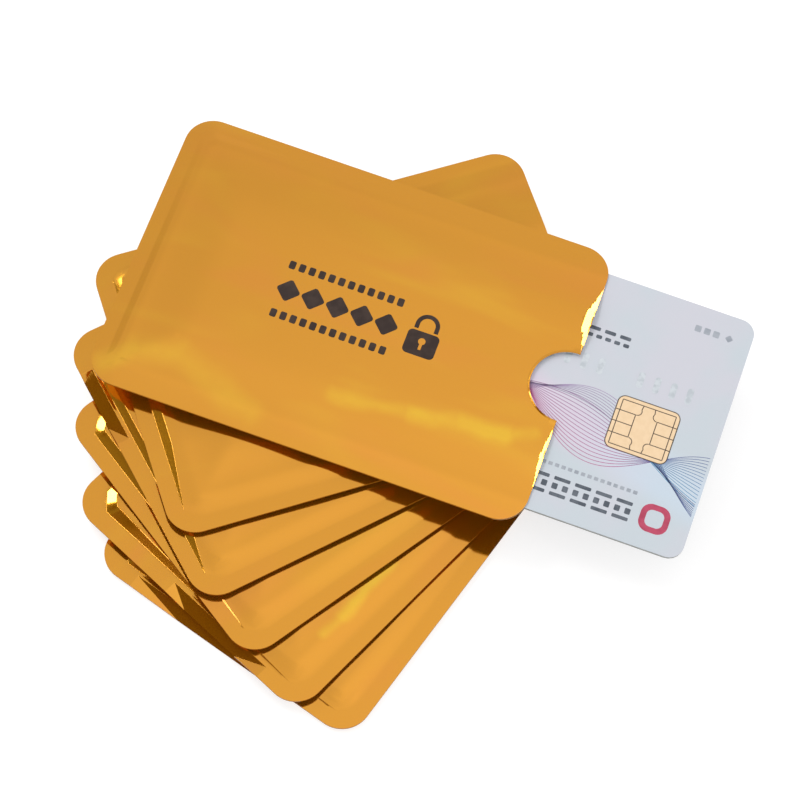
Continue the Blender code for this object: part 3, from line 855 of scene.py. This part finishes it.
def fold_height(tree, given, x, y):
    """Height of the crisp fold: planes of one slope over the closed end, a chamfer and the upper side."""
    grown = eased(tree, y, FOLD_POINT, given["Full fold at"], way="LINEAR")
    foot = given["Fold inset"] + given["Fold slant"] * (grown * eased(tree, y, *SLANT_ENDS, 1.0, 0.0))
    from_end = x + given["Half length"] - foot
    from_side = given["Half width"] - given["Fold inset"] - y
    chamfer = (from_end + from_side - given["Fold chamfer"]) * math.sqrt(0.5)
    depth = from_end.math("MINIMUM", from_side).math("MINIMUM", chamfer)
    width = given["Fold width"] * grown * eased(tree, x, *FOLD_FADE, 1.0, 0.0)
    rise = depth.math("SMOOTH_MIN", width, width * FOLD_ROUNDING).math("MAXIMUM", 0.0)
    turn, slopes = given["Slope turns at"], (given["Lower slope"], given["Upper slope"])
    lift = eased(tree, y, turn - SLOPE_TURN, turn + SLOPE_TURN, *slopes) * rise
    return lift * eased(tree, depth, given["Fold width"], FOLD_SETTLES, 1.0, 0.0)


def pocket_height(tree, given, x, y):
    """Height of the pocket: a ramp up from its foot, with mitred corners, and a swell past the ramp."""
    radius = given["Foot radius"]
    from_end = x + given["Half length"] - given["Foot inset"]
    from_side = given["Half width"] - given["Foot inset"] - abs(y)
    short = (radius - from_end, radius - from_side)
    squares = [distance.math("MAXIMUM", 0.0).math("POWER", 2.0) for distance in short]
    mitre = short[0].math("SMOOTH_MAX", short[1], MITRE_BLEND).math("MINIMUM", 0.0)
    depth = radius - ((squares[0] + squares[1]).math("SQRT") + mitre)
    share = (depth / given["Ramp run"]).math("MAXIMUM", 0.0)
    straight = share.math("SMOOTH_MIN", 1.0, RAMP_ROUNDING) * (1.0 - given["Ramp ease"])
    ramp = (straight + eased(tree, share, 0.0, 1.0) * given["Ramp ease"]) * given["Ramp lift"]
    swell_end = given["Ramp run"] + given["Shoulder run"]
    return ramp, eased(tree, depth, given["Ramp run"], swell_end, 0.0, given["Swell"])


def mouth_height(tree, given, x, y):
    """Height of the bowed lips at the mouth, and of the rim round the notch."""
    from_peak = abs(abs(y) - given["Lip peak"])
    side_share = eased(tree, y, -LIP_CHANGE, LIP_CHANGE, given["Lower lip share"], 1.0)
    bow = eased(tree, from_peak, 0.0, given["Lip reach"], 1.0, 0.0) * side_share
    lip_share = bow - (given["Half length"] - x) / given["Lip run"]
    centred = combined(tree, x - given["Notch centre"], y)
    from_notch = vector_calc(tree, "LENGTH", centred, output="Value") - given["Notch radius"]
    rim_share = 1.0 - from_notch / given["Rim run"]
    lip = given["Lip rise"] * lip_share.math("MAXIMUM", 0.0)
    return lip, given["Rim rise"] * rim_share.math("MAXIMUM", 0.0)


def forming_tree(thicken):
    """Forms one layer of a sleeve from its flat net, as the heated press and the card do."""
    inputs = {"Geometry": ("Flat net",), "Float": FORMING_SIZES, "Material": ("Finish",)}
    tree, given, made = new_tree("form sleeve layer", "GeometryNodeTree", inputs, {"Geometry": ("Sheet",)})
    x, y, _ = parts_of(tree, value_of(tree, "GeometryNodeInputPosition"))
    ramp, swell = pocket_height(tree, given, x, y)
    fold = fold_height(tree, given, x, y)
    lip, rim = mouth_height(tree, given, x, y)
    crease = value_of(tree, "GeometryNodeInputNamedAttribute", {"Name": "crease"}, data_type="FLOAT")
    height = ramp + swell + fold + lip + rim + given["Offset"] + crease * given["Side"]
    web = combined(tree, x, y, given["Web place"])
    sheet = noted(tree, given["Flat net"], "flat_place", web, "FLOAT_VECTOR")
    trimmed_x = x * (1.0 - given["Trim"] / given["Half length"])
    trimmed_y = y * (1.0 - given["Trim"] / given["Half width"])
    raised = {"Geometry": sheet, "Position": combined(tree, trimmed_x, trimmed_y, height)}
    solid = {"Mesh": value_of(tree, "GeometryNodeSetPosition", raised), "Thickness": given["Thickness"]}
    solid = value_of(tree, "GeometryNodeGroup", solid, node_tree=thicken)
    finish_tree(tree, solid, given["Finish"], made["Sheet"])
    return tree


def marks_tree(thicken):
    """A row of equal printed marks with round corners, centred on the origin along X."""
    numbers = ("Pitch", "Mark length", "Mark width", "Corner radius", "Turn", "Thickness")
    inputs = {"Geometry": ("Unused",), "Int": ("Count",), "Float": numbers, "Material": ("Finish",)}
    tree, given, made = new_tree("row of marks", "GeometryNodeTree", inputs, {"Geometry": ("Marks",)})
    outline = rectangle(tree, given["Mark length"], given["Mark width"])
    corners = {"Curve": outline, "Radius": given["Corner radius"], "Count": 5}
    rounded = value_of(tree, "GeometryNodeFilletCurve", corners, mode="POLY")
    filled = value_of(tree, "GeometryNodeFillCurve", {"Curve": rounded}, mode="NGONS")
    solid = {"Mesh": filled, "Thickness": given["Thickness"]}
    solid = value_of(tree, "GeometryNodeGroup", solid, node_tree=thicken)
    start = combined(tree, (given["Count"] - 1.0) * given["Pitch"] * -0.5)
    line = {"Count": given["Count"], "Start Location": start, "Offset": combined(tree, given["Pitch"])}
    row = value_of(tree, "GeometryNodeMeshLine", line, mode="OFFSET")
    copies = {"Points": row, "Instance": solid, "Rotation": combined(tree, z=given["Turn"])}
    placed = value_of(tree, "GeometryNodeInstanceOnPoints", copies)
    finish_tree(tree, placed, given["Finish"], made["Marks"])
    return tree


def strands_tree():
    """A bundle of fine waved lines that spread and meet again, each one a closed flat ribbon."""
    numbers = ("Length", "Wavelength", "Amplitude", "Breadth", "Start phase", "Phase spread", "Fall")
    numbers += ("Strand width", "Strand depth")
    inputs = {"Geometry": ("Unused",), "Int": ("Strands", "Points"), "Float": numbers}
    inputs["Material"] = ("Finish",)
    tree, given, made = new_tree("strand bundle", "GeometryNodeTree", inputs, {"Geometry": ("Strands",)})
    one = value_of(tree, "GeometryNodeCurvePrimitiveLine", {"End": (1, 0, 0)})
    fine = value_of(tree, "GeometryNodeResampleCurve", {"Curve": one, "Count": given["Points"]})
    rows = value_of(tree, "GeometryNodeMeshLine", {"Count": given["Strands"]}, mode="OFFSET")
    copies = value_of(tree, "GeometryNodeInstanceOnPoints", {"Points": rows, "Instance": fine})
    curve = value_of(tree, "GeometryNodeRealizeInstances", {"Geometry": copies})
    index = value_of(tree, "GeometryNodeInputIndex")
    strand = ((index + 0.5) / given["Points"]).math("FLOOR")
    along_share = (index - strand * given["Points"]) / (given["Points"] - 1.0)
    strand_share = strand / (given["Strands"] - 1.0)
    x = (along_share - 0.5) * given["Length"]
    turn = x / given["Wavelength"] * (2 * math.pi)
    wave = (turn + strand_share * given["Phase spread"] + given["Start phase"]).math("SINE")
    height = wave * ((strand_share - 0.5) * given["Breadth"] + given["Amplitude"])
    for name, value in (("along_share", along_share), ("strand_share", strand_share)):
        curve = noted(tree, curve, name, value)
    place = combined(tree, x, height + x * given["Fall"])
    moved = value_of(tree, "GeometryNodeSetPosition", {"Geometry": curve, "Position": place})
    level = value_of(tree, "GeometryNodeSetCurveNormal", {"Curve": moved}, mode="Z_UP")
    section = rectangle(tree, given["Strand width"], given["Strand depth"])
    sweep = {"Curve": level, "Profile Curve": section, "Fill Caps": True}
    finish_tree(tree, value_of(tree, "GeometryNodeCurveToMesh", sweep), given["Finish"], made["Strands"])
    return tree


# The sleeves

def sleeve_outline():
    """Die line of a sleeve: four round corners, and the thumb notch in the mouth edge."""
    lip = math.degrees(math.atan2(NOTCH_WIDTH / 2, NOTCH_DEPTH - NOTCH_RADIUS))
    corners = rounded_rectangle(SLEEVE_LENGTH, SLEEVE_WIDTH, SLEEVE_CORNER)
    notch = arc((NOTCH_CENTRE, 0), NOTCH_RADIUS, 360 - lip, lip, 40)
    return evenly(corners + notch, EVEN_STEP, closed=True)


def contour(inset):
    """Line round the pocket this far inside the die line, open at the mouth and past it."""
    side = SLEEVE_WIDTH / 2 - inset
    end = inset - SLEEVE_LENGTH / 2
    radius = max(POCKET_CORNER - inset, SHARPEST_CORNER)
    line = [Vector((MOUTH + EVEN_STEP, side))]
    line += arc((end + radius, side - radius), radius, 90, 180, CORNER_POINTS)
    line += arc((end + radius, radius - side), radius, 180, 270, CORNER_POINTS)
    line.append(Vector((MOUTH + EVEN_STEP, -side)))
    return evenly(line, EVEN_STEP)


def fold_path(sizes, share, past):
    """Line round the pocket that lies this share up the fold, and then this far past it."""
    inset, width, chamfer, slant, full = (size * MM for size in sizes)
    end, side = -SLEEVE_LENGTH / 2, SLEEVE_WIDTH / 2
    across = share * width
    turned = chamfer + (across + past) * (math.sqrt(2) - 1)
    corner = end + inset + turned
    line = [Vector((MOUTH + EVEN_STEP, side - inset - past))]
    fade_end, fade_start = FOLD_FADE
    for step in range(UPPER_STEPS + 1):
        x = fade_start + (corner - fade_start) * step / UPPER_STEPS
        faded = smooth((fade_start - x) / (fade_start - fade_end))
        line.append(Vector((x, side - inset - past - across * faded)))
    first = side - inset - turned
    for step in range(END_STEPS + 1):
        y = first + (FOLD_POINT - first) * step / END_STEPS
        grown = min((y - FOLD_POINT) / (full - FOLD_POINT), 1.0)
        ended = smooth((y - SLANT_ENDS[0]) / (SLANT_ENDS[1] - SLANT_ENDS[0]))
        foot = inset + slant * grown * (1 - ended)
        line.append(Vector((end + foot + past + across * grown, y)))
    room = side + FOLD_POINT - inset - past
    radius = max(room, 0.3 * MM)
    if room > radius / 2:
        middle = (end + inset + past + radius, inset + past + radius - side)
        line += arc(middle, radius, 180, 270, 8)
    else:
        line.pop()
        line.append(Vector((end + inset + past, inset + past - side)))
    line.append(Vector((MOUTH + EVEN_STEP, inset + past - side)))
    return evenly(line, EVEN_STEP)


def droop_lines(droop):
    """Lines where the planes of a drooping margin meet each other and the flat."""
    upper, lower, upper_slope, lower_slope, slope = droop
    crease, outside = DROOP_INSET - SLEEVE_LENGTH / 2, -SLEEVE_LENGTH / 2 - NET_OVERHANG
    deepest = slope * (crease - outside)
    ends = ((upper * MM, -deepest / upper_slope), (lower * MM, deepest / lower_slope))
    lines = []
    for beside in (-BEND_RADIUS, 0.0, BEND_RADIUS):
        lines.append([Vector((crease + beside, upper * MM)), Vector((crease + beside, lower * MM))])
        for y, run in ends:
            turn, meeting = Vector((crease, y)), Vector((outside, y + run))
            along = (meeting - turn).normalized()
            aside = Vector((-along.y, along.x)) * beside
            lines.append([turn + aside, meeting + aside])
            lines.append([Vector((crease, y + beside)), Vector((outside, y + beside))])
    return [evenly(line, BEND_STEP) for line in lines]


def sleeve_net(number):
    """Flat net of every layer of a sleeve, fine where the ramp, the fold and the lip are."""
    sizes = FOLDS[number][0]
    margin = [FIRST_INSET + INSET_STEP * i for i in range(INSETS)]
    lines = [contour(inset) for inset in margin if inset < sizes[0] * MM - 0.1 * MM]
    lines += [fold_path(sizes, share, 0.0) for share in UP_THE_FOLD]
    if number in DROOPS:
        lines += droop_lines(DROOPS[number])
    lines += [fold_path(sizes, 1.0, past * MM) for past in PAST_FOLD]
    lip_run, peak, reach = (FORMS_IN_COMMON[size] for size in ("Lip run", "Lip peak", "Lip reach"))
    for side, share in ((1, 1.0), (-1, FORMS_IN_COMMON["Lower lip share"])):
        edge = []
        for step in range(-LIP_STEPS, LIP_STEPS + 1):
            away = step / LIP_STEPS
            bow = share * (1 - smooth(abs(away)))
            edge.append(Vector((MOUTH - lip_run * bow, side * peak + reach * away)))
        lines.append(edge)
    for back in BACK_FROM_MOUTH:
        x = MOUTH - back * MM
        column = [Vector((x, -SLEEVE_WIDTH / 2 - MM)), Vector((x, SLEEVE_WIDTH / 2 + MM))]
        lines.append(evenly(column, MOUTH_STEP))
        lines.append(arc((NOTCH_CENTRE, 0), NOTCH_RADIUS + back * MM, 100, 260, 60))
    free = []
    for column in range(FREE_COLUMNS):
        x = FREE_START * MM + column * FREE_PITCH[0] * MM
        for row in range(FREE_ROWS):
            free.append(Vector((x, (row - (FREE_ROWS - 1) / 2) * FREE_PITCH[1] * MM)))
    return flat_net(sleeve_outline(), lines=lines, points=free)


def sleeve_place(number):
    """Matrix of a sleeve's own frame: its origin in the sleeve's middle, and its mouth at +X."""
    low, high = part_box(f"sleeve_{number}_inner_pouch")
    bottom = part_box(f"sleeve_{number}_back_film")[0].z
    tilt = math.radians(TOP_TILT if number == 1 else 0.0)
    middle = bottom + MOUTH * math.sin(tilt) + HALF_HEIGHT * math.cos(tilt)
    centre = Vector(((low.x + high.x) / 2, (low.y + high.y) / 2, middle))
    turned = Euler((0, tilt, math.radians(TURNS[number - 1]))).to_matrix().to_4x4()
    return Matrix.Translation(centre) @ turned


def formed(tree, net, number, offset, thickness, finish, back=False):
    """Mesh of one layer of a sleeve, in the sleeve's own frame."""
    values = dict(FORMS_IN_COMMON)
    values.update(FORMS["filled" if number == 1 else "empty"])
    sizes, slopes = FOLDS[number]
    values.update({name: size * MM for name, size in zip(FOLD_SIZES, sizes)})
    values.update(zip(FOLD_SLOPES, (slopes[0], slopes[1], slopes[2] * MM)))
    values.update({"Offset": offset, "Thickness": thickness, "Finish": finish})
    values["Trim"] = 0.0 if offset == FILM_OFFSET else INNER_TRIM
    values["Side"] = -1.0 if back else 1.0
    values["Web place"] = WEB_STEP * number + (WEB_TO_BACK if back else 0.0)
    if back:
        values.update({"Lip rise": 0.0, "Rim rise": 0.0})
    mesh = grown_mesh(tree, net, values)
    if back:
        mesh.transform(TURNED_OVER)
    return faced_outwards(mesh)


def joined(first, second):
    """One mesh of two shells."""
    shape = bmesh.new()
    shape.from_mesh(first)
    shape.from_mesh(second)
    shape.to_mesh(first)
    shape.free()
    return first


def add_sleeve(number, tree, finishes):
    body = f"sleeve_{number}"
    place = sleeve_place(number)
    found = sleeve_net(number)
    droop = DROOPS.get(number)
    plain = net_mesh("sleeve_net", found, droop=droop)
    puckered = net_mesh("puckered_net", found, PUCKERS.get(number, ()), droop)
    gold = finishes.get(f"gold_{number}", finishes["gold"])
    shield = finishes["shield"]
    film = (FILM_OFFSET, FILM_THICKNESS, "gold_film")
    foil = (FOIL_OFFSET, FOIL_THICKNESS, "shield_foil")
    for name, node, (offset, thickness, slot), finish, net, back in (
        ("gold_front", "front_film", film, gold, puckered, False),
        ("shield_front", "front_foil", foil, shield, plain, False),
        ("shield_back", "back_foil", foil, shield, plain, True),
        ("gold_back", "back_film", film, finishes["gold"], plain, True),
    ):
        mesh = formed(tree, net, number, offset, thickness, finish, back)
        add_piece(f"{name}_{number}", mesh, body, place, replaces=[f"{body}_{node}"])
    wall = (tree, plain, number, 0.0, POUCH_WALL, finishes["seal_film"])
    pouch = joined(formed(*wall), formed(*wall, back=True))
    add_piece(f"pouch_{number}", pouch, body, place, replaces=[f"{body}_inner_pouch"])


# The print on the top sleeve

def add_rows(tree, rows, finishes, body, place, height):
    """Rows of marks on a face at this height."""
    for name, ink, x, y, count, pitch, length, width, radius, turn in rows:
        values = {"Count": count, "Pitch": pitch * MM, "Mark length": length * MM}
        values.update({"Mark width": width * MM, "Corner radius": radius * MM, "Turn": math.radians(turn)})
        values.update({"Thickness": INK_THICKNESS, "Finish": finishes[ink]})
        mesh = faced_outwards(grown_mesh(tree, bpy.data.meshes.new(name), values))
        add_piece(name, mesh, body, place @ Matrix.Translation((x * MM, y * MM, height)))


def add_sleeve_print(tree, finishes):
    """Plain dark ornament in the middle of the top sleeve: dashes, squares on end and a padlock."""
    place = sleeve_place(1)
    ink = finishes["brown_ink"]
    face = HALF_HEIGHT + INK_LIFT
    add_rows(tree, SLEEVE_ROWS, finishes, "sleeve_1", place, face)
    middle = 14.9 * MM
    eye, slot_end = (middle, -1.0 * MM), (middle, -2.9 * MM)
    lock = rounded_rectangle(6.6 * MM, 5.4 * MM, 1.0 * MM, (middle, -1.6 * MM))
    keyhole = [arc(eye, 0.75 * MM, 0, 350, 20), bar(slot_end, eye, 0.6 * MM)]
    body_mesh = slab_mesh("print_lock_body", flat_net(lock, keyhole), face, face + INK_THICKNESS)
    add_piece("print_lock_body", body_mesh, "sleeve_1", place, ink)
    foot, rise, outer, inner = 1.5 * MM, 2.6 * MM, 2.5 * MM, 1.6 * MM
    bow = []
    for radius, start, end in ((outer, 0, 180), (inner, 180, 0)):
        side = radius if start < end else -radius
        bow.append(Vector((middle + side, foot)))
        bow += arc((middle, rise), radius, start, end, 24)
        bow.append(Vector((middle - side, foot)))
    bow_mesh = slab_mesh("print_lock_bow", flat_net(bow), face, face + INK_THICKNESS)
    add_piece("print_lock_bow", bow_mesh, "sleeve_1", place, ink)


# The card

def card_place():
    middle = MOUTH + CARD_EXPOSED - CARD_LENGTH / 2
    return sleeve_place(1) @ Matrix.Translation((middle, 0, 0))


def add_card_face(place, finishes):
    """The clear front overlay, with its true round corners and the window of the chip."""
    outline = evenly(rounded_rectangle(CARD_LENGTH, CARD_WIDTH, CARD_CORNER), 8 * MM, closed=True)
    grown = 2 * WINDOW_CLEARANCE
    corner = CHIP_CORNER + WINDOW_CLEARANCE
    window = rounded_rectangle(CHIP_LENGTH + grown, CHIP_WIDTH + grown, corner, CHIP_PLACE)
    front = slab_mesh("card_face", flat_net(outline, [window]), CARD_FACE - OVERLAY_THICKNESS, CARD_FACE)
    note_place(front)
    finish = finishes["card_overlay"]
    add_piece("card_face", front, "card", place, finish, ["card_front_overlay"])


def chip_grooves():
    """Outlines of the grooves that part the contacts: a frame line, rungs, and the island's sides."""
    x, y = CHIP_PLACE
    width = 0.19 * MM
    frame_x, frame_y = CHIP_LENGTH / 2 - 0.95 * MM, CHIP_WIDTH / 2 - 0.95 * MM
    island = 2.25 * MM
    rung = 2.55 * MM
    nose = 0.9 * MM
    reach = CHIP_LENGTH / 2 + MM
    lines = []
    for side in (1, -1):
        right, inner, outer = x + side * frame_x, x + side * island, x + side * reach
        lines.append(((right, y - frame_y), (right, y + frame_y)))
        lines.append(((x - frame_x, y + side * frame_y), (x + frame_x, y + side * frame_y)))
        lines.append(((inner, y - rung), (inner, y + rung)))
        lines += [((inner, y + row * rung), (outer, y + row * rung)) for row in (-1, 0, 1)]
        for rise in (1, -1):
            bend = (x + side * (island - 0.15 * MM), y + rise * (rung + nose))
            points = arc(bend, nose, -rise * 90, -rise * 90 - rise * side * 125, 10)
            points.append(Vector((x + side * 1.2 * MM, y + rise * frame_y)))
            lines += zip(points, points[1:])
    return [bar(start, end, width) for start, end in lines]


def add_chip(place, finishes):
    """Dark carrier tape, and on it the plated contacts, parted by their grooves."""
    outline = rounded_rectangle(CHIP_LENGTH, CHIP_WIDTH, CHIP_CORNER, CHIP_PLACE)
    tape_top = CARD_FACE + TAPE_THICKNESS
    tape = slab_mesh("chip_tape", flat_net(outline), CARD_FACE - OVERLAY_THICKNESS, tape_top)
    add_piece("chip_tape", tape, "card", place, finishes["chip_tape"], replaces=["card_contact_plate"])
    trim = 2 * 0.17 * MM
    plated = rounded_rectangle(CHIP_LENGTH - trim, CHIP_WIDTH - trim, CHIP_CORNER - trim / 2, CHIP_PLACE)
    net = flat_net(plated, chip_grooves())
    contacts = slab_mesh("chip_contacts", net, tape_top, tape_top + CONTACT_THICKNESS - TAPE_THICKNESS)
    add_piece("chip_contacts", contacts, "card", place, finishes["contact_plating"])


def add_card_print(marks, strands, place, finishes):
    """Generic print of the card: waved fine lines, grey and silver marks, and one red ring."""
    face = CARD_FACE + INK_LIFT
    for name, ink, count, amplitude, breadth, phase, spread in BUNDLES:
        values = {
            "Strands": count,
            "Points": STRAND_POINTS,
            "Length": STRAND_LENGTH,
            "Wavelength": STRAND_WAVE,
            "Amplitude": amplitude * MM,
            "Breadth": breadth * MM,
            "Start phase": phase,
            "Phase spread": spread,
            "Fall": STRAND_FALL,
            "Strand width": STRAND_WIDTH,
            "Strand depth": INK_THICKNESS,
            "Finish": finishes[ink],
        }
        mesh = faced_outwards(grown_mesh(strands, bpy.data.meshes.new(name), values))
        add_piece(name, mesh, "card", place @ Matrix.Translation((0, STRAND_MIDDLE, face)))
    add_rows(marks, CARD_ROWS, finishes, "card", place, face)
    middle = Vector((35.6 * MM, -20.3 * MM))
    ring = rounded_rectangle(6.0 * MM, 6.0 * MM, 2.2 * MM, middle)
    hole = rounded_rectangle(3.6 * MM, 3.6 * MM, 1.2 * MM, middle)
    mark = slab_mesh("card_red_ring", flat_net(ring, [hole]), face, face + INK_THICKNESS)
    add_piece("card_red_ring", mark, "card", place, finishes["red_ink"])


# The studio

def direction(azimuth, elevation):
    """Unit vector from the object to a place round it. Azimuth 0 is the side at -Y."""
    a, e = math.radians(azimuth), math.radians(elevation)
    return Vector((math.sin(a) * math.cos(e), -math.cos(a) * math.cos(e), math.sin(e)))


def add_camera():
    back = direction(VIEW_AZIMUTH, VIEW_ELEVATION)
    turn = math.radians(VIEW_AZIMUTH)
    right = Vector((math.cos(turn), math.sin(turn), 0))
    up = back.cross(right)
    roll = math.radians(VIEW_ROLL)
    across = math.cos(roll) * right + math.sin(roll) * up
    upright = -math.sin(roll) * right + math.cos(roll) * up
    camera = new_object("camera", bpy.data.cameras.new("camera"))
    camera.data.lens = VIEW_LENS
    camera.data.clip_start = 10 * MM
    turned = Matrix((across, upright, back)).transposed().to_4x4()
    camera.matrix_world = Matrix.Translation(VIEW_TARGET + back * VIEW_DISTANCE) @ turned
    bpy.context.scene.camera = camera


def overhead(x, y):
    """Unit vector to a place in the room above, by how far it leans along X and Y."""
    return Vector((x, y, math.sqrt(1 - x * x - y * y)))


def add_softbox(name, start, end, breadth, distance, radiance):
    """Rectangular lamp round the object, from one direction to another and this broad."""
    first, last = overhead(*start) * distance, overhead(*end) * distance
    middle = (first + last) / 2
    along = (last - first).normalized()
    back = middle.normalized()
    back = (back - back.dot(along) * along).normalized()
    lamp = bpy.data.lights.new(name, "AREA")
    lamp.shape = "RECTANGLE"
    lamp.size = (last - first).length
    lamp.size_y = breadth * distance
    lamp.energy = radiance * math.pi * lamp.size * lamp.size_y
    turned = Matrix((along, back.cross(along), back)).transposed().to_4x4()
    new_object(name, lamp).matrix_world = Matrix.Translation(middle) @ turned


def add_world():
    """Even pale room, brighter overhead and dim on one side, and white where it is seen itself."""
    world = bpy.data.worlds.new("studio")
    bpy.context.scene.world = world
    world.use_nodes = True
    tree = world.node_tree
    towards = value_of(tree, "ShaderNodeTexCoord", output="Generated")
    room = ROOM_TONE
    for x, y, inner, outer, tone in ROOM_PATCHES:
        apart = vector_calc(tree, "DISTANCE", towards, overhead(x, y), output="Value")
        room = mix_colours(tree, eased(tree, apart, inner, outer, 1.0, 0.0), room, tone)
    seen = value_of(tree, "ShaderNodeLightPath", output="Is Camera Ray")
    put(mix_colours(tree, seen, room, (1, 1, 1)), tree.nodes["Background"].inputs["Color"])


def add_floor():
    """Pale table top, lifted to white where it is seen, which keeps the object's soft shadow."""
    net = flat_net(evenly(rounded_rectangle(FLOOR_SIDE, FLOOR_SIDE, 1.0, steps=8), 1.0, closed=True))
    floor = new_object("studio_floor", net_mesh("studio_floor", net))
    made, tree, _ = new_material("studio_floor")
    tree.nodes.clear()
    path = add_node(tree, "ShaderNodeLightPath").outputs
    seen = Value(tree, path["Is Camera Ray"]) + path["Is Glossy Ray"] + path["Is Transmission Ray"]
    grain = noise(tree, place_of(tree), 40.0)
    colour = mix_colours(tree, grain, *FLOOR_TONES)
    matt = value_of(tree, "ShaderNodeBsdfDiffuse", {"Color": colour})
    lift = {"Strength": seen.math("MINIMUM", 1.0) * FLOOR_LIFT}
    both = {0: matt, 1: value_of(tree, "ShaderNodeEmission", lift)}
    add_node(tree, "ShaderNodeOutputMaterial", {"Surface": value_of(tree, "ShaderNodeAddShader", both)})
    floor.data.materials.append(made)


def main():
    finishes = make_materials()
    thicken = thicken_tree()
    forming = forming_tree(thicken)
    marks = marks_tree(thicken)
    strands = strands_tree()
    for number in FOLDS:
        add_sleeve(number, forming, finishes)
    add_sleeve_print(marks, finishes)
    place = card_place()
    for node, finish in CARD_SOLIDS.items():
        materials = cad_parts[node].data.materials
        materials.clear()
        materials.append(finishes[finish])
    add_card_face(place, finishes)
    add_chip(place, finishes)
    add_card_print(marks, strands, place, finishes)
    add_floor()
    add_world()
    for lamp in LAMPS:
        add_softbox(*lamp)
    add_camera()
    bpy.context.scene.view_settings.view_transform = "Standard"


main()
